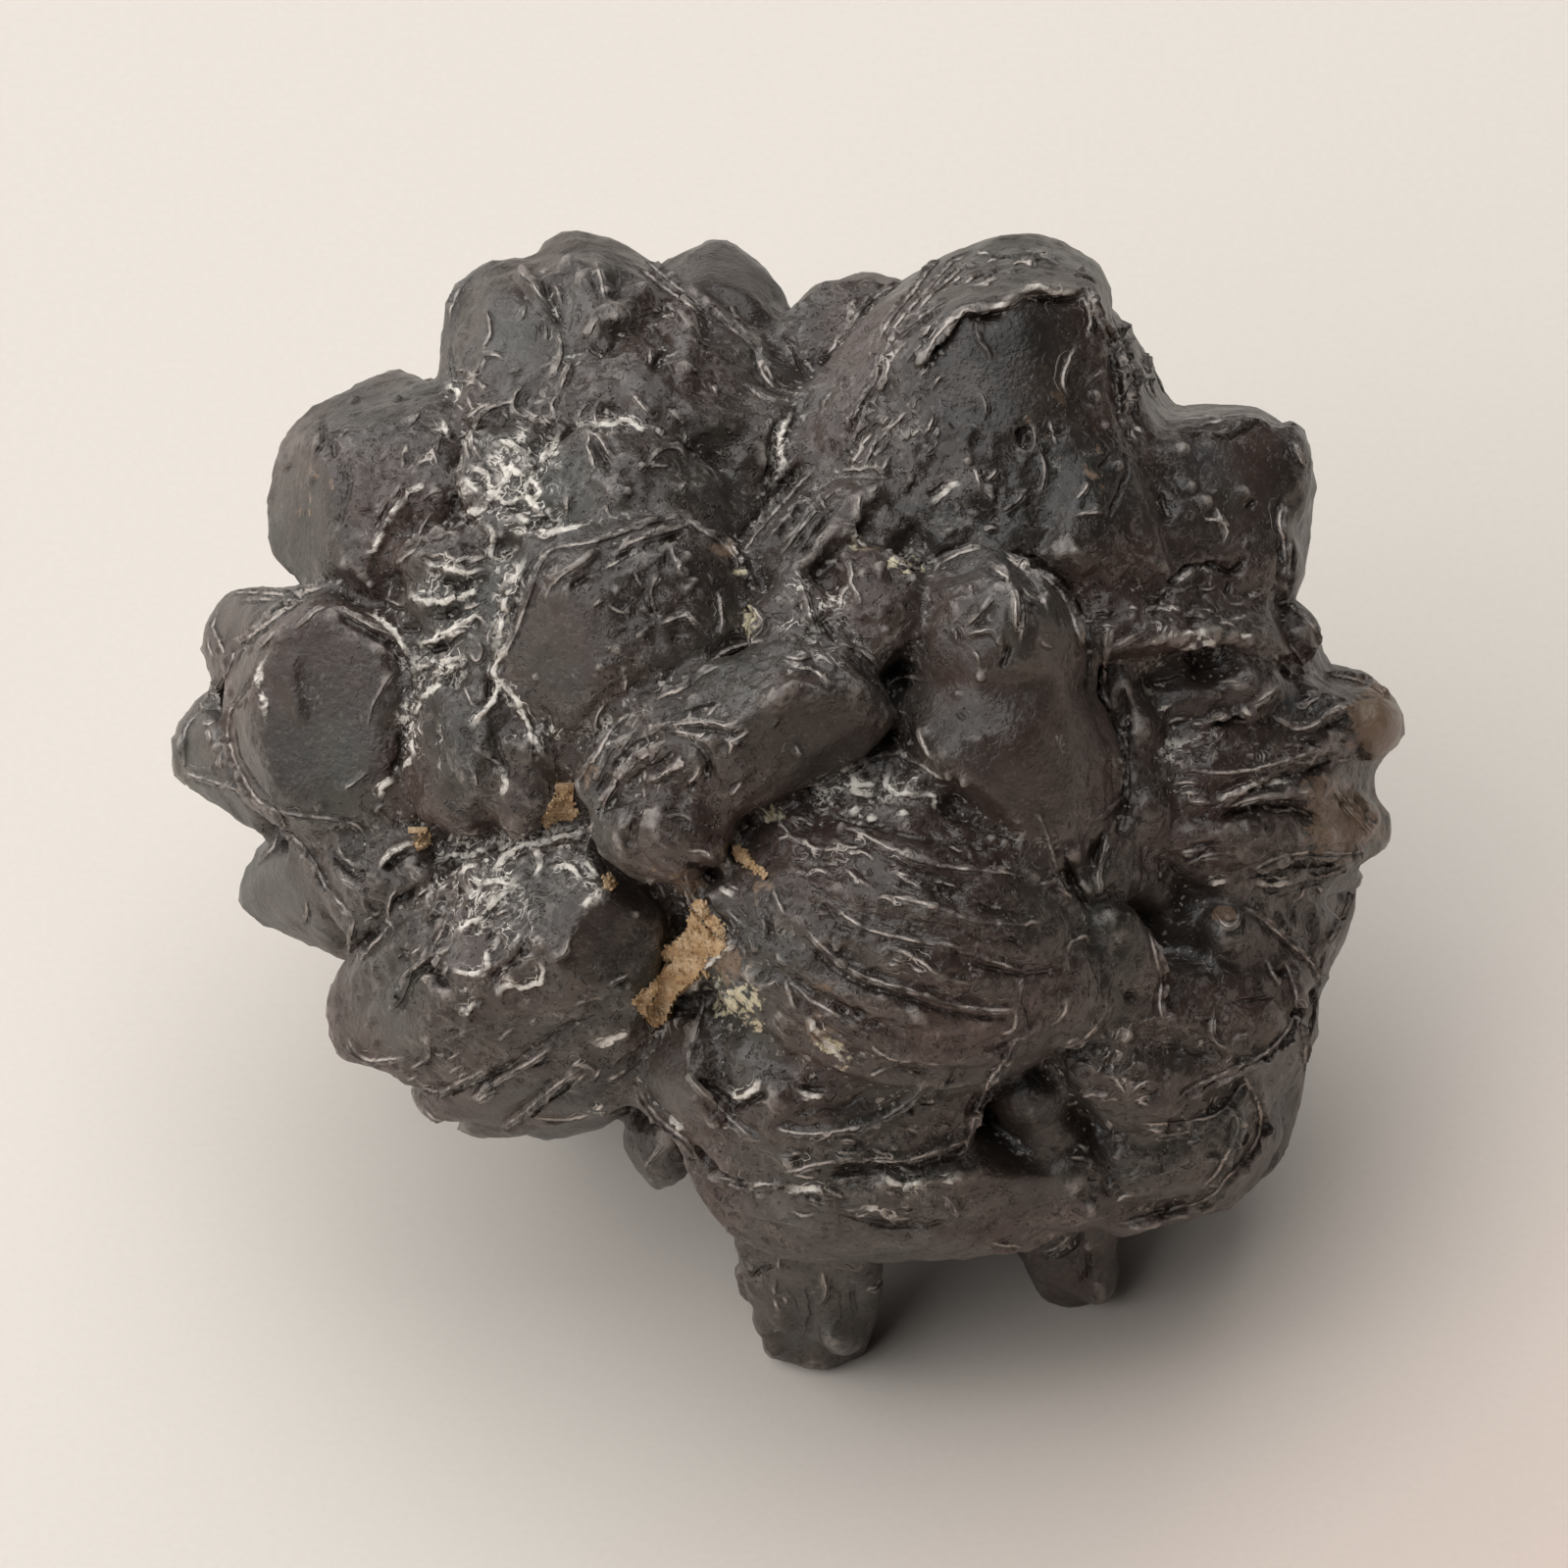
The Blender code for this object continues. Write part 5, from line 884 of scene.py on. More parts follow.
def addLumps(stone):
    # each one a faceted pebble sunk in the stone, which the next remesh joins to it
    pieces = [stone]
    for x, y, across, down, depth, thickness, turn in lumps:
        bpy.ops.mesh.primitive_ico_sphere_add(subdivisions=2, radius=1.0)
        lump = bpy.context.active_object
        stretch = view["pixel"]
        nearness = 1 - depth * mm / view["distance"]
        right, up = x - view["middlePixel"][0], view["middlePixel"][1] - y
        middle = (view["middle"] + faceRight * right * stretch * nearness + faceUp * up * stretch * nearness
                  + faceOut * (depth - thickness) * mm)
        size = Matrix.Diagonal((across * stretch, down * stretch, thickness * mm, 1))
        lump.matrix_world = (Matrix.Translation(middle) @ Matrix.Rotation(math.pi / 2 - view["tilt"], 4, "X")
                             @ Matrix.Rotation(math.radians(turn), 4, "Z") @ size)
        pieces.append(lump)
    pick(*pieces[1:])
    bpy.ops.object.transform_apply()
    pick(*pieces[1:], stone)
    bpy.ops.object.join()


def growTogether(stone):
    # one fine mesh, with the small crystals joined to it
    for nudge in (stoneValues["nudge"], -stoneValues["nudge"]):
        applyModifier(stone, "REMESH", mode="VOXEL", voxel_size=stoneValues["closeVoxel"])
        applyModifier(stone, "DISPLACE", mid_level=0, strength=nudge)
    addLumps(stone)
    applyModifier(stone, "REMESH", mode="VOXEL", voxel_size=stoneValues["carveVoxel"])


def ripple(places, size, seed):
    # uneven waves between 0 and 1 over picture pixels or places, the same each time
    draw = np.random.default_rng(seed)
    total = np.zeros(len(places))
    for wave in range(7):
        heading = draw.normal(size=places.shape[1])
        heading /= np.linalg.norm(heading) * size * draw.uniform(0.7, 1.5)
        total += np.sin(places @ heading * 2 * math.pi + draw.uniform(0, 6.28))
    return np.clip(0.5 + total / 6.0, 0, 1)


def smoothWay(points):
    # a rounded way through the stroke's points, one place every few pixels
    line = np.array(points, float)
    if len(points) == 1:
        return line
    line = np.vstack([2 * line[0] - line[1], line, 2 * line[-1] - line[-2]])
    way = []
    for a, b, c, d in zip(line, line[1:], line[2:], line[3:]):
        count = max(1, int(np.linalg.norm(c - b) / stoneValues["wayStep"]))
        for share in np.arange(count) / count:
            way.append(0.5 * (2 * b + (c - a) * share + (2 * a - 5 * b + 4 * c - d) * share ** 2
                              + (3 * b - a - 3 * c + d) * share ** 3))
    return np.array(way + [line[-2]])


class Surface:
    # what the strokes are drawn on
    def __init__(self, stone):
        self.places = vertexPlaces(stone)
        self.normals = vertexNormals(stone)
        self.pixels = picturePixels(self.places)
        self.facing = self.normals @ np.array(faceOut)
        self.tree = surfaceTree(stone)
        self.fromLeft = self.pixels[:, 0].argsort()
        self.lefts = self.pixels[self.fromLeft, 0]

    def near(self, points, reach):
        low = points.min(0) - reach
        high = points.max(0) + reach
        first, last = np.searchsorted(self.lefts, (low[0], high[0]))
        strip = self.fromLeft[first:last]
        down = self.pixels[strip, 1]
        return strip[(down > low[1]) & (down < high[1]) & (self.facing[strip] > -0.15)]

    def steps(self, way):
        # the way's short steps on the surface: where they start and end, and how far along they are
        hits = [throughPixel(self.tree, x, y) for x, y in way]
        starts, ends, along = [], [], []
        for run, ((a, an), (b, bn)) in enumerate(zip(hits, hits[1:]), 1):
            if a is None or b is None or (b - a).length > stoneValues["longestStep"]:
                continue
            starts.append(a)
            ends.append(b)
            along.append(run)
        if not starts:
            starts = ends = [place for place, normal in hits if place is not None][:1]
            along = [len(hits) - 1]
        return np.array(starts), np.array(ends), np.array(along)

    def stroke(self, points, width):
        # vertices beside a stroke, their distance from it in half widths, the side, and the taper at its ends
        way = smoothWay(points)
        found = self.near(way, width)
        if not len(found):
            return found, None, None, None
        starts, ends, along = self.steps(way)
        if not len(starts):
            return np.array([], int), None, None, None
        step = ends - starts
        square = np.maximum((step ** 2).sum(1), 1e-16)
        offset = self.places[found][:, None] - starts[None]
        share = np.clip((offset * step[None]).sum(2) / square[None], 0, 1)
        away = offset - share[..., None] * step[None]
        gap = np.sqrt((away ** 2).sum(2))
        nearest = gap.argmin(1)
        rows = np.arange(len(found))
        gap, away = gap[rows, nearest], away[rows, nearest]
        heading = step[nearest] / np.sqrt(square[nearest])[:, None]
        side = (np.cross(heading, self.normals[found]) * away).sum(1)
        travelled = along[nearest] - 1 + share[rows, nearest]
        total = max(len(way) - 1, 1)
        toEnd = np.minimum(travelled, total - travelled) / min(4, 0.3 * total + 0.1)
        taper = softStep(0, 1, toEnd + 0.15) if len(way) > 1 else np.ones(len(found))
        half = width / 2 * view["pixel"]
        keep = gap < half * stoneValues["strokeReach"]
        return found[keep], gap[keep] / half, np.sign(side[keep]), taper[keep]


def strokeShape(kind, gap, side):
    # height across a stroke, from its middle outwards
    if kind == "ridge":
        return np.clip(1 - gap, 0, 1) ** 1.25 - 0.2 * np.exp(-((gap - 1.15) / 0.25) ** 2)
    if kind == "dusty":
        return 0.8 * np.clip(1 - gap, 0, 1) ** 0.8
    if kind == "groove":
        return -np.clip(1 - gap, 0, 1) ** 1.2
    if kind == "pit":
        return -np.clip(1 - gap ** 2, 0, 1) ** 1.5
    if kind == "lip":
        raised = np.exp(-(gap * 1.3) ** 2)
        dropped = -0.75 * np.clip(1 - abs(gap - 0.45) / 0.45, 0, 1)
        return np.where(side > 0, np.where(gap < 0.15, 1 - gap / 0.15, dropped), raised)
    return np.clip(1 - gap ** 2, 0, 1) ** 1.2  # knob and swell


def strayStrokes():
    # the same each time
    draw = random.Random(strayValues["seed"])
    strokes = []
    for x, y, across, down, angle, spread, count in strayZones:
        for one in range(count):
            turn, reach = draw.uniform(0, 2 * math.pi), math.sqrt(draw.random())
            middle = Vector((x + across * reach * math.cos(turn), y + down * reach * math.sin(turn)))
            heading = math.radians(angle + draw.uniform(-spread, spread))
            half = Vector((math.cos(heading), math.sin(heading))) * draw.uniform(*strayValues["halfLength"])
            bend = middle + Vector((-half.y, half.x)) * draw.uniform(*strayValues["bend"])
            kind = draw.choice(strayValues["kinds"])
            points = [bend] if kind == "knob" else [middle - half, bend, middle + half]
            width, height = draw.uniform(*strayValues["width"]), draw.uniform(*strayValues["height"])
            strokes.append((kind, width, height, points))
    return strokes


def eachStroke(broad=None):
    # every stroke, or only the broad or the fine ones
    for name, strokes in list(carving.items()) + [("strays", strayStrokes())]:
        for kind, width, height, *ways in strokes:
            if kind in ("groove", "pit"):
                height = height * stoneValues["grooveGain"]
            if name == "ribbed fan":
                height = height * stoneValues["fanGain"]
                height = height * (stoneValues["fanGrooveGain"] if kind == "groove" else 1)
            isBroad = width >= stoneValues["broadWidth"] or height >= stoneValues["broadHeight"]
            if broad is not None and isBroad != broad:
                continue
            for way in ways:
                points = np.reshape(way, (-1, 2))
                for part in np.split(points, len(points)) if kind == "knob" else [points]:
                    yield kind, width, height, part


def carve(stone, broad):
    surface = Surface(stone)
    lift = np.zeros(len(surface.places))
    nearLines = np.zeros(len(surface.places), bool)
    uneven = ripple(surface.pixels, stoneValues["unevenSize"], 5)
    crumbling = ripple(surface.pixels, stoneValues["crumblingSize"], 6)
    gain = stoneValues["broadGain" if broad else "fineGain"]
    for kind, width, height, points in eachStroke(broad):
        found, gap, side, taper = surface.stroke(points, width)
        if len(found):
            fade = softStep(-0.15, 0.1, surface.facing[found])
            if kind == "dusty":
                fade = fade * (0.25 + 1.1 * crumbling[found])
            elif kind in ("ridge", "lip", "groove"):
                fade = fade * (0.7 + 0.6 * uneven[found])
            lift[found] += strokeShape(kind, gap, side) * taper * height * mm * fade * gain
            nearLines[found[gap < 1.2]] = True
    moveVertices(stone, surface.places + surface.normals * lift[:, None])
    return nearLines


def spotAmounts(pixels, spots, outer, inner):
    # strength of the strongest spot at each pixel, fading between two shares of its reach
    amounts = np.zeros(len(pixels))
    for x, y, across, down, *amount in spots:
        reach = np.sqrt(((pixels[:, 0] - x) / across) ** 2 + ((pixels[:, 1] - y) / down) ** 2)
        amounts = np.maximum(amounts, (amount[0] if amount else 1) * softStep(outer, inner, reach))
    return amounts


def smoothAmount(pixels, facing):
    # the smooth crystal faces, and a little where the face turns away
    smooth = spotAmounts(pixels, smoothSpots, 1.25, 0.75) * softStep(-0.1, 0.1, facing)
    rim = softStep(0.5, 0.2, facing) * softStep(-0.4, -0.1, facing)
    return np.maximum(smooth, stoneValues["rim"] * rim)


def dustAmount(pixels, facing):
    return spotAmounts(pixels, dustSpots, 1.3, 0.4) * softStep(-0.2, 0.2, facing)


def ridgedTexture(name, roughness, fineness):
    texture = bpy.data.textures.new(name, "MUSGRAVE")
    texture.musgrave_type = "RIDGED_MULTIFRACTAL"
    texture.octaves = 2.0
    texture.dimension_max = roughness
    texture.lacunarity = fineness
    return texture


def roughen(stone, groupName, amounts, *textures):
    # natural unevenness, each texture at its own size and height, as strong as the amounts say
    group = stone.vertex_groups.new(name=groupName)
    for index in np.nonzero(amounts > 0.05)[0].tolist():
        group.add([index], amounts[index], "REPLACE")
    for texture in textures:
        texture.noise_scale = stoneValues[texture.name + "Size"] * mm
        applyModifier(stone, "DISPLACE", texture=texture, texture_coords="LOCAL", mid_level=0.5,
                      strength=stoneValues[texture.name + "Height"] * mm, vertex_group=groupName)


def relief(stone):
    # swells, dents and curved wrinkles all over, weaker on the smooth crystal faces
    smooth = smoothAmount(picturePixels(vertexPlaces(stone)), vertexNormals(stone) @ np.array(faceOut))
    swell = bpy.data.textures.new("swell", "CLOUDS")
    swell.noise_depth = 2
    dent = bpy.data.textures.new("dent", "VORONOI")
    wrinkle = ridgedTexture("wrinkle", 0.9, 2.2)
    roughen(stone, "rough", 1 - stoneValues["smoothed"] * smooth, swell, dent, wrinkle)


def crumble(stone):
    # the dusty valleys are full of small crumbs and curls
    amounts = dustAmount(picturePixels(vertexPlaces(stone)), vertexNormals(stone) @ np.array(faceOut))
    roughen(stone, "dusty", amounts, ridgedTexture("crumb", 0.8, 2.0))


def chooseFaces(stone, chosen):
    # leaves exactly these faces selected, in edit mode
    pick(stone)
    bpy.ops.object.mode_set(mode="EDIT")
    bpy.ops.mesh.select_mode(type="FACE")
    bpy.ops.mesh.select_all(action="DESELECT")
    bpy.ops.object.mode_set(mode="OBJECT")
    stone.data.polygons.foreach_set("select", chosen)
    bpy.ops.object.mode_set(mode="EDIT")


def seenFaces(stone):
    # faces that the picture shows, with a margin
    centres = readRows(stone.data.polygons, "center").astype(float)
    normals = readRows(stone.data.polygons, "normal").astype(float)
    size = stoneValues["cells"]
    cells = np.clip(np.floor(picturePixels(centres) / stoneValues["cell"]).astype(int), 1, size - 2)
    depth = (centres - np.array(view["middle"])) @ np.array(faceOut)
    front = np.full((size, size), -1.0)
    np.maximum.at(front, (cells[:, 0], cells[:, 1]), depth)
    near = depth > front[cells[:, 0], cells[:, 1]] - stoneValues["seenDepth"]
    return (normals @ np.array(faceOut) > -0.1) & near


def refineFace(stone):
    chooseFaces(stone, seenFaces(stone))
    bpy.ops.mesh.subdivide(number_cuts=1)
    bpy.ops.object.mode_set(mode="OBJECT")
    applyModifier(stone, "SMOOTH", factor=0.5, iterations=2)


def thinOut(stone, nearLines):
    # fewer triangles: first where the picture doesn't look, then between the lines, then evenly
    applyModifier(stone, "TRIANGULATE")
    total = len(stone.data.polygons)
    corners = readRows(stone.data.polygons, "vertices", 3, int)
    seen = np.zeros(len(nearLines), bool)
    seen[corners[seenFaces(stone)].ravel()] = True
    groups = {"hidden": ~seen, "plain": seen & ~nearLines}
    for name, members in groups.items():
        group = stone.vertex_groups.new(name=name)
        group.add(np.nonzero(members)[0].tolist(), 1.0, "REPLACE")
    for name, members in groups.items():
        own = members[corners].all(1).sum()
        kept = total - own + min(own, stoneValues[name + "Triangles"])
        applyModifier(stone, "DECIMATE", ratio=kept / total, vertex_group=name, vertex_group_factor=1.0)
        total = len(stone.data.polygons)
        print(name, own, "thinned:", total, "triangles in all")
    applyModifier(stone, "DECIMATE", ratio=stoneValues["allTriangles"] / total)


stone = stoneCopy()
growTogether(stone)
print("stone grown together:", len(stone.data.vertices), "vertices")
carve(stone, broad=True)
applyModifier(stone, "REMESH", mode="VOXEL", voxel_size=stoneValues["carveVoxel"])
applyModifier(stone, "SMOOTH", factor=0.5, iterations=4)
relief(stone)
print("broad forms and relief:", len(stone.data.vertices), "vertices")
refineFace(stone)
crumble(stone)
nearLines = carve(stone, broad=False)
places = vertexPlaces(stone)
places[:, 2] = np.maximum(places[:, 2], 0)  # the feet end at the table
moveVertices(stone, places)
print("fine strokes:", len(stone.data.vertices), "vertices")
thinOut(stone, nearLines)
pick(stone)
bpy.ops.object.shade_smooth()
print("stone finished:", len(stone.data.polygons), "triangles")


def neighbourMean(values, edges, count):
    # mean of each vertex's neighbours
    total = np.zeros_like(values)
    for column in range(values.shape[1]):
        total[:, column] = (np.bincount(edges[:, 0], values[edges[:, 1], column], len(values))
                            + np.bincount(edges[:, 1], values[edges[:, 0], column], len(values)))
    return total / np.maximum(count, 1)[:, None]


def hollowness(stone, rounds):
    # how far each vertex lies below the smoothed surface, in mm, for a few reaches
    places = vertexPlaces(stone)
    normals = vertexNormals(stone)
    edges = readRows(stone.data.edges, "vertices", 2, int)
    count = np.bincount(edges.ravel(), minlength=len(places))
    lengths = np.linalg.norm(places[edges[:, 0]] - places[edges[:, 1]], axis=1)
    spacing = np.bincount(edges.ravel(), np.repeat(lengths, 2), len(places)) / np.maximum(count, 1)
    fineness = np.minimum(1, stoneValues["lineSpacing"] / spacing) ** 2  # evens out large triangles
    smoothed = places.copy()
    found = []
    for turn in range(max(rounds)):
        smoothed = neighbourMean(smoothed, edges, count)
        if turn + 1 in rounds:
            depth = ((smoothed - places) * normals).sum(1) * fineness / mm
            for again in range(2):
                depth = neighbourMean(depth[:, None], edges, count)[:, 0]
            found.append(depth)
    return found


def storeMark(stone, name, values, low=0):
    mark = stone.data.attributes.new(name, "FLOAT", "POINT")
    mark.data.foreach_set("value", np.clip(values, low, 1).astype(np.float32))


def lineMarks(surface):
    # how far each vertex lies to one side or the other of the nearest line, in mm, and that line's strength
    size = len(surface.places)
    lines = {name: (np.full(size, 1.0), np.zeros(size)) for name in ("wearAndHighlight", "dust", "dark")}
    # ridges and lips get pale lines of wear and painted highlight, grooves and pits lines of painted shade
    kinds = {"ridge": "wearAndHighlight", "lip": "wearAndHighlight", "dusty": "dust", "groove": "dark", "pit": "dark"}
    for kind, width, height, points in eachStroke():
        found, gap, side, taper = surface.stroke(points, width)
        if not len(found) or kind not in kinds:
            continue
        distance = gap * width / 2 * view["pixel"] / mm
        across, down = points[-1][0] - points[0][0], points[-1][1] - points[0][1]
        turn = 1 if kind == "lip" or across - 0.5 * down > 0 else -1  # the lit side the same on all
        sideways, strength = lines[kinds[kind]]
        nearer = distance < abs(sideways[found])
        sideways[found[nearer]] = (distance * side * turn)[nearer]
        strength[found] = np.maximum(strength[found], taper * softStep(1.7, 1.2, gap))
    return lines


def markStone(stone):
    # what the finish reads: lines, dust, stain patches with painted shade and highlight among them, how far
    # each part faces up, smooth faces, edges pale from wear and painted highlight, and hollows
    surface = Surface(stone)
    for name, (sideways, strength) in lineMarks(surface).items():
        storeMark(stone, name + "Side", np.where(sideways == 0, 1e-4, sideways), low=-1)
        storeMark(stone, name + "Line", strength)
    storeMark(stone, "dustZone", dustAmount(surface.pixels, surface.facing))
    # how far each vertex faces up, for the painted shade on the tops
    storeMark(stone, "topside", 0.5 + 0.5 * surface.normals[:, 2])
    storeMark(stone, "away", softStep(0.1, -0.3, surface.facing))
    for name, spots in stainsAndPaintedLight.items():
        amounts = spotAmounts(surface.pixels, spots, 1.35, 0.3)
        storeMark(stone, name, amounts * softStep(-0.2, 0.2, surface.facing))
    storeMark(stone, "smoothFace", smoothAmount(surface.pixels, surface.facing))
    fine, middle = hollowness(stone, (stoneValues["edgeRounds"], stoneValues["hollowRounds"]))
    storeMark(stone, "edge", fine * stoneValues["edgeGain"])
    storeMark(stone, "hollow", middle * stoneValues["hollowGain"])


markStone(stone)
print("marks stored")


# finishes
def newMaterial(name):
    material = bpy.data.materials.new(name)
    material.use_nodes = True
    return material, material.node_tree.nodes["Principled BSDF"]


class Nodes:
    # adds and links nodes in one tree
    def __init__(self, tree):
        self.tree = tree
        self.place = self.add("ShaderNodeTexCoord").outputs["Object"]

    def add(self, kind, inputs=None, **values):
        node = self.tree.nodes.new(kind)
        for name, value in values.items():
            setattr(node, name, value)
        for name, value in (inputs or {}).items():
            self.feed(node.inputs[name], value)
        return node

    def feed(self, socket, value):
        if isinstance(value, bpy.types.NodeSocket):
            self.tree.links.new(value, socket)
        else:
            socket.default_value = value

    def math(self, operation, a, b=0.0):
        return self.add("ShaderNodeMath", {0: a, 1: b}, operation=operation).outputs[0]

    def chain(self, operation, first, *others):
        for other in others:
            first = self.math(operation, first, other)
        return first

    def product(self, *values):
        return self.chain("MULTIPLY", *values)

    def sum(self, *values):
        return self.chain("ADD", *values)

    def strongest(self, *values):
        return self.chain("MAXIMUM", *values)

    def ramp(self, value, low, high, fromValue=0.0, toValue=1.0):
        return self.add("ShaderNodeMapRange", {"Value": value, "From Min": low, "From Max": high,
                                               "To Min": fromValue, "To Max": toValue}).outputs[0]

    def line(self, value, core, fade):
        # strong where a value is near nought
        return self.ramp(self.math("ABSOLUTE", value), core, fade, 1.0, 0.0)

    def mix(self, share, a, b):
        node = self.add("ShaderNodeMix", data_type="RGBA")
        self.feed(node.inputs["Factor"], share)
        self.feed(node.inputs[6], a)
        self.feed(node.inputs[7], b)
        return node.outputs[2]

    def darken(self, share, colour):
        grey = self.add("ShaderNodeCombineXYZ", {0: share, 1: share, 2: share}).outputs[0]
        return self.add("ShaderNodeVectorMath", {0: colour, 1: grey}, operation="MULTIPLY").outputs[0]

    def noise(self, scale, detail=3.0, distortion=0.0, **values):
        inputs = {"Vector": self.place, "Scale": scale, "Detail": detail, "Distortion": distortion}
        return self.add("ShaderNodeTexNoise", inputs, **values).outputs[0]

    def patches(self, scale, detail, low, high, fromValue=0.0, toValue=1.0):
        return self.ramp(self.noise(scale, detail), low, high, fromValue, toValue)

    def ragged(self, value, spread, scale, detail):
        # a value made uneven, by up to the spread either way
        return self.math("ADD", value, self.patches(scale, detail, 0.3, 0.7, -spread, spread))

    def mark(self, name):
        return self.add("ShaderNodeAttribute", attribute_name=name).outputs["Fac"]


finish = {
    "brown": (0.071, 0.0445, 0.0365, 1),
    "greenGrey": (0.057, 0.0535, 0.0445, 1),
    # painted shade in hollows, grooves and beside ridges, and the colour of dark specks
    "shadeAndSpeckBrown": (0.021, 0.0145, 0.011, 1),
    # pale of wear and painted highlight on ridges, edges and curls
    "wearAndHighlightPale": (0.50, 0.44, 0.395, 1),
    "dust": (0.74, 0.69, 0.62, 1),
    "roughness": 0.37,
    "gloss": 0.48,
    # stain, with dark partly painted shade and pale partly painted highlight: colour, size of its specks, how
    # much of the patch it leaves bare
    "tan": ((0.19, 0.130, 0.088, 1), 1500, 0.40), "yellow": ((0.60, 0.53, 0.36, 1), 2300, 0.74),
    "green": ((0.050, 0.052, 0.044, 1), 250, 0.20), "blue": ((0.062, 0.068, 0.070, 1), 250, 0.20),
    "red": ((0.066, 0.039, 0.030, 1), 250, 0.20), "dark": ((0.028, 0.0235, 0.019, 1), 250, 0.05),
    "pale": ((0.135, 0.120, 0.108, 1), 700, 0.25),
}
stoneMaterial, shader = newMaterial("iron oxide")
n = Nodes(stoneMaterial.node_tree)

tone = n.mix(n.patches(160, 3, 0.36, 0.68), finish["brown"], finish["greenGrey"])
# the dark and pale patches paint shade and highlight as well as stone colour
for name in ("green", "blue", "red", "dark", "pale"):
    stainColour, size, bare = finish[name]
    tone = n.mix(n.product(n.mark(name), n.patches(size, 3, bare, bare + 0.5)), tone, stainColour)
tone = n.darken(n.patches(900, 4, 0.3, 0.75, 0.80, 1.22), tone)
tone = n.darken(n.patches(300, 2, 0.35, 0.65, 0.87, 1.13), tone)
tone = n.darken(n.ramp(n.mark("topside"), 0.5, 0.95, 1.0, 0.63), tone)  # painted shade: the tops darker, where the lamps light them most

rough = n.ramp(n.mark("smoothFace"), 0.0, 1.0, 1.0, 0.25)
hollow = n.mark("hollow")


def alongLine(name, middle, core, fade, wobble=0.05):
    # a crisp uneven line beside or on the drawn ones
    uneven = n.patches(1900, 3, 0.3, 0.7, -middle - wobble, -middle + wobble)
    return n.product(n.line(n.math("ADD", n.mark(name + "Side"), uneven), core, fade), n.mark(name + "Line"))


def threads(scale, distortion, core, fade):
    # thin wandering lines, where a noise crosses its middle
    return n.line(n.math("SUBTRACT", n.noise(scale, 2.5, distortion), 0.5), core, fade)


# painted shade in hollows, in grooves and on the shaded side of each ridge, and dark specks
speck = n.product(n.patches(2800, 2, 0.585, 0.645), rough)
tone = n.mix(n.product(hollow, 0.55), tone, finish["shadeAndSpeckBrown"])
paintedShadeLine = n.strongest(alongLine("dark", 0.0, 0.05, 0.16), alongLine("wearAndHighlight", 0.12, 0.02, 0.07, 0.03))
tone = n.mix(n.product(n.strongest(paintedShadeLine, speck), 0.7), tone, finish["shadeAndSpeckBrown"])

# pale, partly wear and partly painted highlight: lines along ridges and edges, and short curls where the
# surface is rough
wearAndHighlightStreak = n.product(alongLine("wearAndHighlight", 0.0, 0.035, 0.095, 0.04), n.patches(850, 3, 0.43, 0.58, 0.12, 1.0))
curl = n.product(threads(2000, 1.6, 0.010, 0.040), n.patches(1400, 2, 0.5, 0.6))
worm = threads(800, 2.4, 0.012, 0.045)
wormShare = n.product(worm, n.patches(600, 2, 0.5, 0.6), rough)
free = n.ramp(n.mark("away"), 0.0, 1.0, 0.15, 0.5)  # stronger where no lines are drawn
edgeShare = n.ramp(n.ragged(n.mark("edge"), 0.3, 2400, 4), 0.5, 1.1, 0.0, 0.4)
curlShare = n.product(n.strongest(n.product(curl, rough), wormShare), free)
tone = n.mix(n.strongest(n.product(wearAndHighlightStreak, 0.9), edgeShare, curlShare), tone, finish["wearAndHighlightPale"])

for name in ("tan", "yellow"):
    stainColour, size, bare = finish[name]
    share = n.ramp(n.ragged(n.mark(name), 0.45, size, 4), bare, bare + 0.2)
    tone = n.mix(n.product(share, n.ramp(n.mark(name), 0.02, 0.2), 0.85), tone, stainColour)

# dust: crumbs and curls in the dusty valleys, a broken line along each dusty edge, a little in every hollow
crumbs = n.product(n.patches(2600, 4, 0.545, 0.60), n.ramp(hollow, 0.0, 0.4, 0.1, 0.7))
fluff = n.product(worm, n.patches(1500, 2, 0.46, 0.58, 0.1, 1.0))
thick = n.ramp(n.ragged(n.mark("dustZone"), 0.55, 450, 4), 0.4, 0.9)
zoneDust = n.product(thick, n.strongest(crumbs, fluff))
lineDust = n.product(alongLine("dust", 0.0, 0.08, 0.16, 0.10), n.patches(1300, 4, 0.36, 0.46))
loose = n.product(n.patches(3300, 3, 0.60, 0.65), n.ramp(hollow, 0.1, 0.6, 0.06, 0.7))
dustShare = n.strongest(zoneDust, lineDust, n.product(loose, 0.7))
tone = n.mix(n.product(dustShare, 0.9), tone, finish["dust"])
n.feed(shader.inputs["Base Color"], tone)

sheen = n.patches(500, 4, 0.3, 0.7, finish["roughness"] - 0.08, finish["roughness"] + 0.1)
n.feed(shader.inputs["Roughness"], n.math("ADD", sheen, n.product(dustShare, 0.45)))
shader.inputs["Specular IOR Level"].default_value = finish["gloss"]

height = n.sum(
    n.product(n.noise(1300, 3, noise_type="RIDGED_MULTIFRACTAL"), rough, 0.05),
    n.product(n.noise(1250, 0), rough, -0.09),
    n.product(wearAndHighlightStreak, 0.06),
    n.product(n.noise(4500, 2), 0.05),
    n.product(n.strongest(speck, paintedShadeLine), -0.07),
)
bump = n.add("ShaderNodeBump", {"Height": height, "Distance": 1.0 * mm, "Strength": 0.85})
n.feed(shader.inputs["Normal"], bump.outputs[0])
stone.data.materials.clear()
stone.data.materials.append(stoneMaterial)

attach(stone, "root")
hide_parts("crystal_cluster")


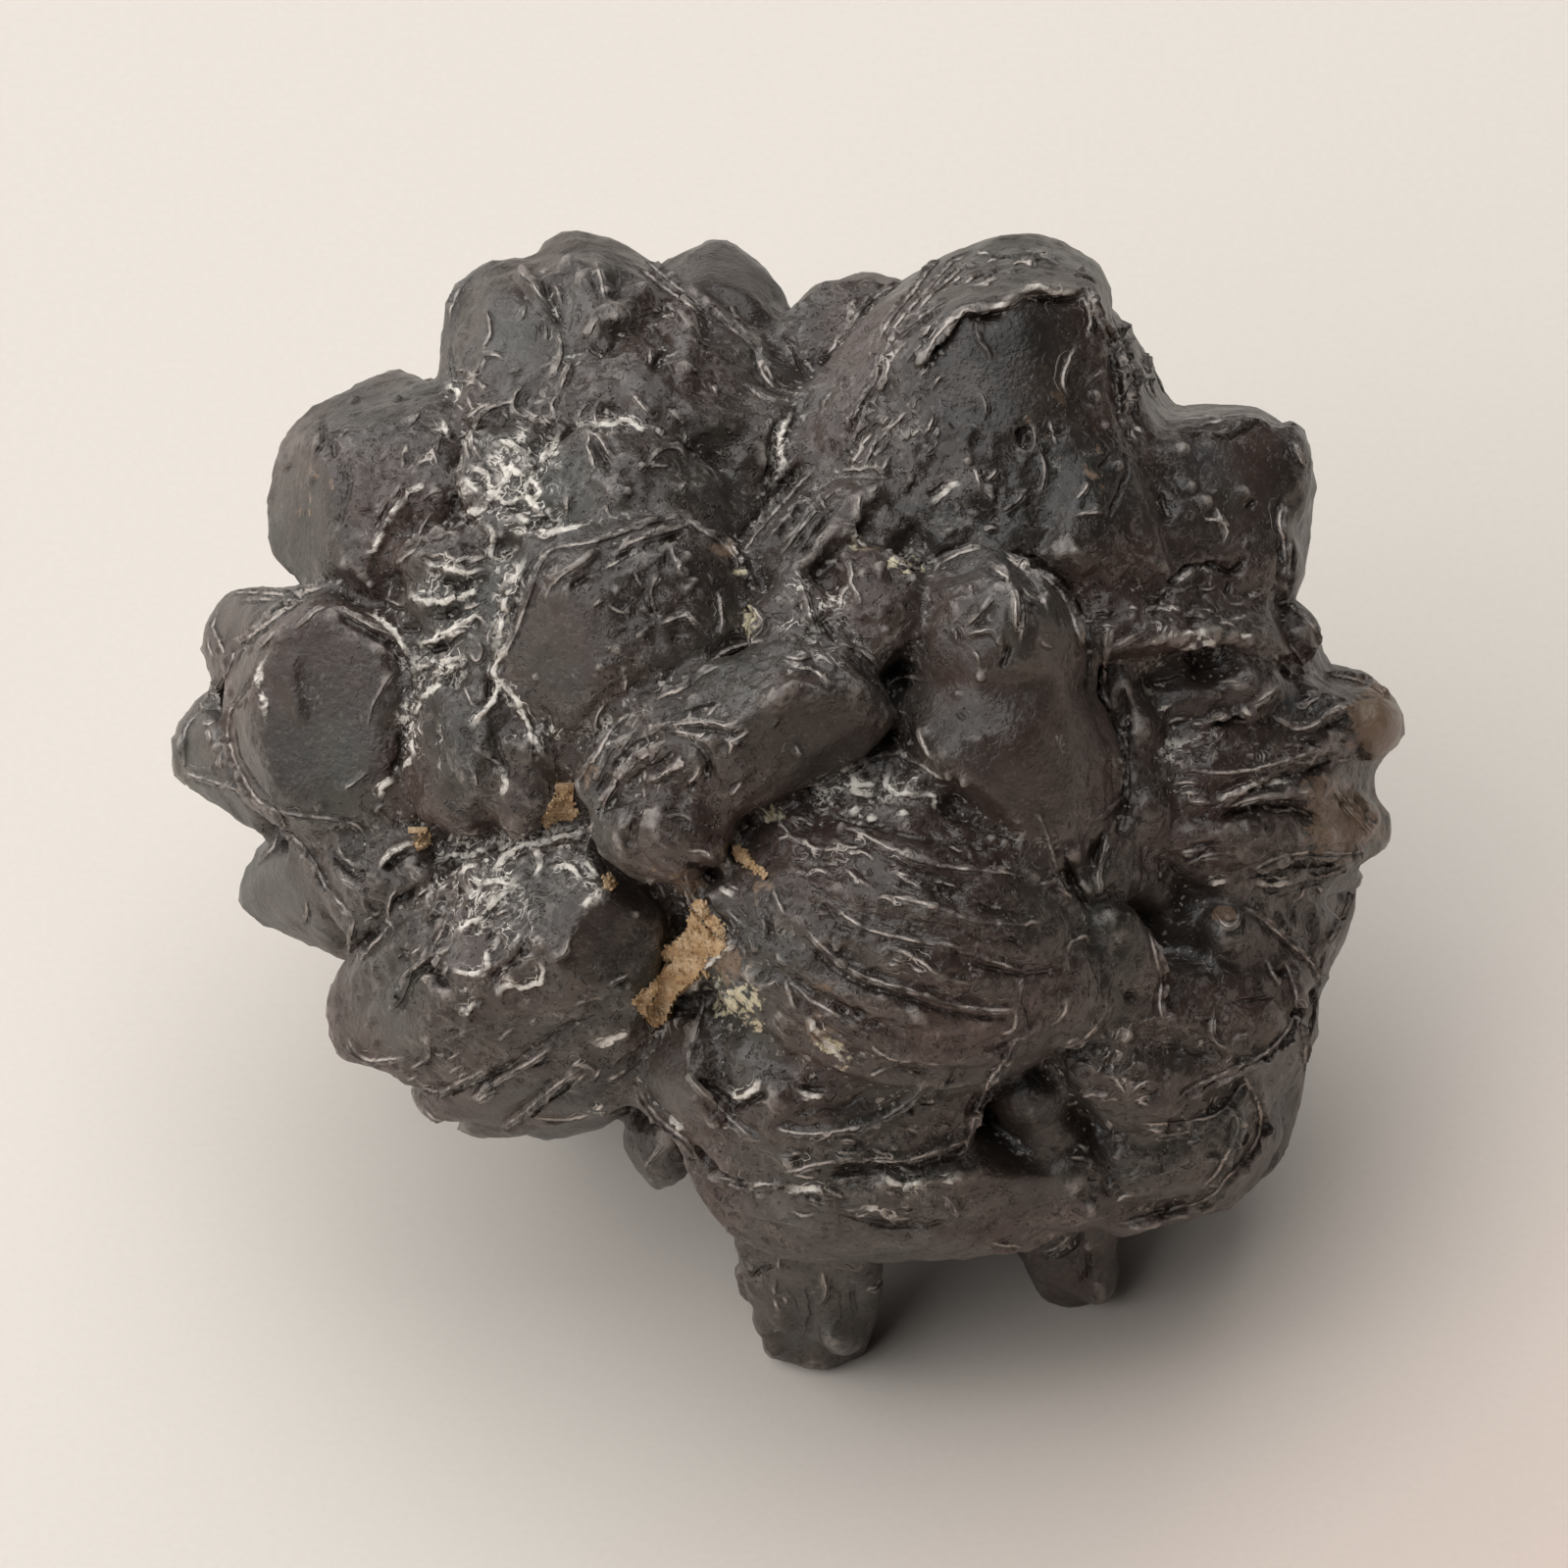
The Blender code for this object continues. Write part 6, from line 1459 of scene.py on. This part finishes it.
# ochre sand lying in the pockets, filled to just under their rims; step, loose and bumpSize are in pixels
sand = {
    "step": 3,
    "rim": 0.86,  # how far towards the middle a point outside has to be brought to count as the rim
    "sink": 0.35 * mm, "cover": 0.12 * mm, "tuck": 0.15 * mm, "thick": 0.8 * mm,
    "bumps": 0.34 * mm, "bumpSize": 26, "bumpShares": (0.12, 0.9, -0.4),  # random, rippled, even
    "grainShare": 0.05,  # grains to a square pixel of a patch
    "loose": 2,
    "smallest": 0.03 * mm, "largest": 0.085 * mm,
    "colour": (0.46, 0.295, 0.150, 1), "pale": (0.60, 0.445, 0.285, 1), "deep": (0.31, 0.18, 0.085, 1),
}


def isInside(x, y, corners):
    inside = False
    for (ax, ay), (bx, by) in zip(corners, corners[1:] + corners[:1]):
        if (ay > y) != (by > y) and x < ax + (y - ay) * (bx - ax) / (by - ay):
            inside = not inside
    return inside


def stoneDepth(tree, x, y):
    # how far towards the eye the stone lies at a pixel, or nothing where it isn't
    place, normal = throughPixel(tree, x, y)
    return (place - view["middle"]).dot(faceOut) if place else None


def bedPoints(tree, corners):
    # a bumpy bed inside the patch, its rim tucked under the stone: column, row, pixel, depth, whether inside
    rim = [(x, y, stoneDepth(tree, x, y)) for x, y in corners]
    rim = np.array([row for row in rim if row[2] is not None])
    flat = np.column_stack([rim[:, 0], rim[:, 1], np.ones(len(rim))])
    level = np.linalg.lstsq(flat, rim[:, 2], rcond=None)[0]
    middle = np.mean(corners, axis=0)
    step = sand["step"]
    low, high = np.min(corners, axis=0) - 3 * step, np.max(corners, axis=0) + 3 * step
    columns, rows = int((high[0] - low[0]) / step) + 1, int((high[1] - low[1]) / step) + 1
    drawn, rippled, even = sand["bumpShares"]
    for row in range(rows):
        for column in range(columns):
            x, y = low[0] + column * step, low[1] + row * step
            within = isInside(x, y, corners)
            back = middle + (np.array([x, y]) - middle) * sand["rim"]
            if not within and not isInside(back[0], back[1], corners):
                continue
            under = stoneDepth(tree, x, y)
            if under is None:
                continue
            depth = level @ [x, y, 1] - sand["sink"]
            ripples = float(ripple(np.array([[x, y]]), sand["bumpSize"], 3)[0])
            bump = sand["bumps"] * (random.random() * drawn + rippled * ripples + even)
            if within:
                depth = max(depth, under + sand["cover"]) + bump
            else:
                depth = min(depth, under) - sand["tuck"]
            yield column, row, x, y, depth, within


def layBed(tree, corners):
    # gives the bed and the points on its surface
    bed = bmesh.new()
    points, surface = {}, []
    for column, row, x, y, depth, within in bedPoints(tree, corners):
        points[column, row] = bed.verts.new(placeAt(x, y, depth))
        if within:
            surface.append((x, y, depth))
    for column, row in list(points):
        around = ((column, row), (column, row + 1), (column + 1, row + 1), (column + 1, row))
        square = [points.get(key) for key in around]
        if None not in square:
            bed.faces.new(square)
    bmesh.ops.delete(bed, geom=[v for v in bed.verts if not v.link_faces], context="VERTS")
    mesh = bpy.data.meshes.new("sand bed")
    bed.to_mesh(mesh)
    bed.free()
    piece = bpy.data.objects.new("sand_bed", mesh)
    bpy.context.scene.collection.objects.link(piece)
    applyModifier(piece, "SOLIDIFY", thickness=sand["thick"], offset=-1)
    return piece, surface


def strewGrains(surface):
    bpy.ops.mesh.primitive_ico_sphere_add(subdivisions=1, radius=1)
    model = bpy.context.active_object
    ball = np.array([vertex.co for vertex in model.data.vertices])
    faces = np.array([polygon.vertices for polygon in model.data.polygons])
    bpy.data.objects.remove(model)
    vertices, triangles = [], []
    loose = sand["loose"]
    for turn in range(int(len(surface) * sand["step"] ** 2 * sand["grainShare"])):
        x, y, depth = random.choice(surface)
        x, y = x + random.uniform(-loose, loose), y + random.uniform(-loose, loose)
        radius = random.uniform(sand["smallest"], sand["largest"])
        stretch = np.array([random.uniform(0.7, 1.3) for axis in range(3)])
        spin = np.array(Euler([random.uniform(0, 6.28) for axis in range(3)]).to_matrix())
        middle = np.array(placeAt(x, y, depth + random.uniform(-0.6, 0.3) * radius))
        triangles.append(faces + len(vertices) * len(ball))
        vertices.append((ball * stretch * radius) @ spin + middle)
    mesh = bpy.data.meshes.new("sand grains")
    mesh.from_pydata(np.concatenate(vertices).tolist(), [], np.concatenate(triangles).tolist())
    mesh.validate()
    piece = bpy.data.objects.new("sand_grains", mesh)
    bpy.context.scene.collection.objects.link(piece)
    return piece


random.seed(41)
sandPieces = []
tree = surfaceTree(stone)
for corners in sandPatches.values():
    bed, surface = layBed(tree, corners)
    sandPieces += [bed, strewGrains(surface)]
pick(*sandPieces)
bpy.ops.object.join()
ochreSand = bpy.context.active_object
ochreSand.name = "ochre_sand"
bpy.ops.object.mode_set(mode="EDIT")
bpy.ops.mesh.select_all(action="SELECT")
bpy.ops.mesh.normals_make_consistent(inside=False)
bpy.ops.object.mode_set(mode="OBJECT")
sandMaterial, shader = newMaterial("ochre sand")
n = Nodes(sandMaterial.node_tree)
tone = n.mix(n.patches(1300, 3, 0.35, 0.65), sand["colour"], sand["pale"])
tone = n.mix(n.patches(2600, 4, 0.55, 0.68), tone, sand["deep"])
tone = n.darken(n.patches(9000, 2, 0.3, 0.7, 0.75, 1.2), tone)
n.feed(shader.inputs["Base Color"], tone)
shader.inputs["Roughness"].default_value = 0.85
shader.inputs["Specular IOR Level"].default_value = 0.3
height = n.product(n.noise(6000, 3), 0.08)
n.feed(shader.inputs["Normal"], n.add("ShaderNodeBump", {"Height": height, "Distance": 1.0 * mm}).outputs[0])
ochreSand.data.materials.clear()
ochreSand.data.materials.append(sandMaterial)
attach(ochreSand, "root")
print("sand laid:", len(ochreSand.data.polygons), "faces")


# floor, lights and camera
stageValues = {
    "floorSize": 6.0,
    "paper": (0.735, 0.68, 0.615, 1), "blush": (0.81, 0.66, 0.575, 1),
    "blushFrom": 10 * mm, "blushTo": 48 * mm,  # towards the near right corner
    "worldColour": (1.0, 0.98, 0.95, 1),
    "worldStrength": 0.01,
    "lampDistance": 1.2, "lampSize": 0.9, "lampAim": 0.015,
    "farthest": 20,
}
# large soft lamps: turn from straight behind the stone towards its left, height angle, watts
lamps = {
    "ceiling": (0, 90, 6.25), "back window": (0, 50, 4.0), "left window": (90, 25, 4.5),
    "back left": (45, 25, 6.5), "front left": (135, 50, 5.0), "front left low": (135, 25, 2.5),
}


def addLamp(name, turn, height, power):
    turn, height = math.radians(turn), math.radians(height)
    away = Vector((-math.sin(turn) * math.cos(height), math.cos(turn) * math.cos(height), math.sin(height)))
    bpy.ops.object.light_add(type="AREA", location=away * stageValues["lampDistance"])
    lamp = bpy.context.active_object
    lamp.name = name
    lamp.data.size = stageValues["lampSize"]
    lamp.data.energy = power
    aimed = Vector((0, 0, stageValues["lampAim"])) - lamp.location
    lamp.rotation_euler = aimed.to_track_quat("-Z", "Y").to_euler()


bpy.ops.object.select_all(action="DESELECT")
bpy.ops.mesh.primitive_plane_add(size=stageValues["floorSize"])
floor = bpy.context.active_object
floor.name = "floor"
paper, paperShader = newMaterial("pale paper")
n = Nodes(paper.node_tree)
across = n.add("ShaderNodeVectorMath", {0: n.place, 1: (0.7, -0.7, 0)}, operation="DOT_PRODUCT")
blushShare = n.ramp(across.outputs["Value"], stageValues["blushFrom"], stageValues["blushTo"])
tone = n.mix(blushShare, stageValues["paper"], stageValues["blush"])
n.feed(paperShader.inputs["Base Color"], n.darken(n.patches(3000, 3, 0.3, 0.7, 0.985, 1.015), tone))
paperShader.inputs["Roughness"].default_value = 0.9
floor.data.materials.append(paper)

world = bpy.data.worlds.new("studio")
bpy.context.scene.world = world
world.use_nodes = True
background = world.node_tree.nodes["Background"]
background.inputs["Color"].default_value = stageValues["worldColour"]
background.inputs["Strength"].default_value = stageValues["worldStrength"]
for name, (turn, height, power) in lamps.items():
    addLamp(name, turn, height, power)

bpy.ops.object.camera_add(location=eye)
camera = bpy.context.active_object
camera.name = "camera"
camera.data.lens = camera.data.sensor_width * view["distance"] / (view["imageSize"] * view["pixel"])
half = view["imageSize"] / 2
right, up = half - view["middlePixel"][0], view["middlePixel"][1] - half
aim = view["middle"] + (faceRight * right + faceUp * up) * view["pixel"]
camera.location = aim + faceOut * view["distance"]
camera.rotation_euler = (-faceOut).to_track_quat("-Z", "Y").to_euler()
camera.data.clip_end = stageValues["farthest"]
bpy.context.scene.camera = camera
bpy.context.scene.view_settings.view_transform = "Standard"
bpy.context.scene.cycles.max_bounces = 2  # the stone is too dark for more to show
bpy.context.scene.cycles.diffuse_bounces = 2
bpy.context.scene.cycles.glossy_bounces = 1
print("stage, lights and camera placed")
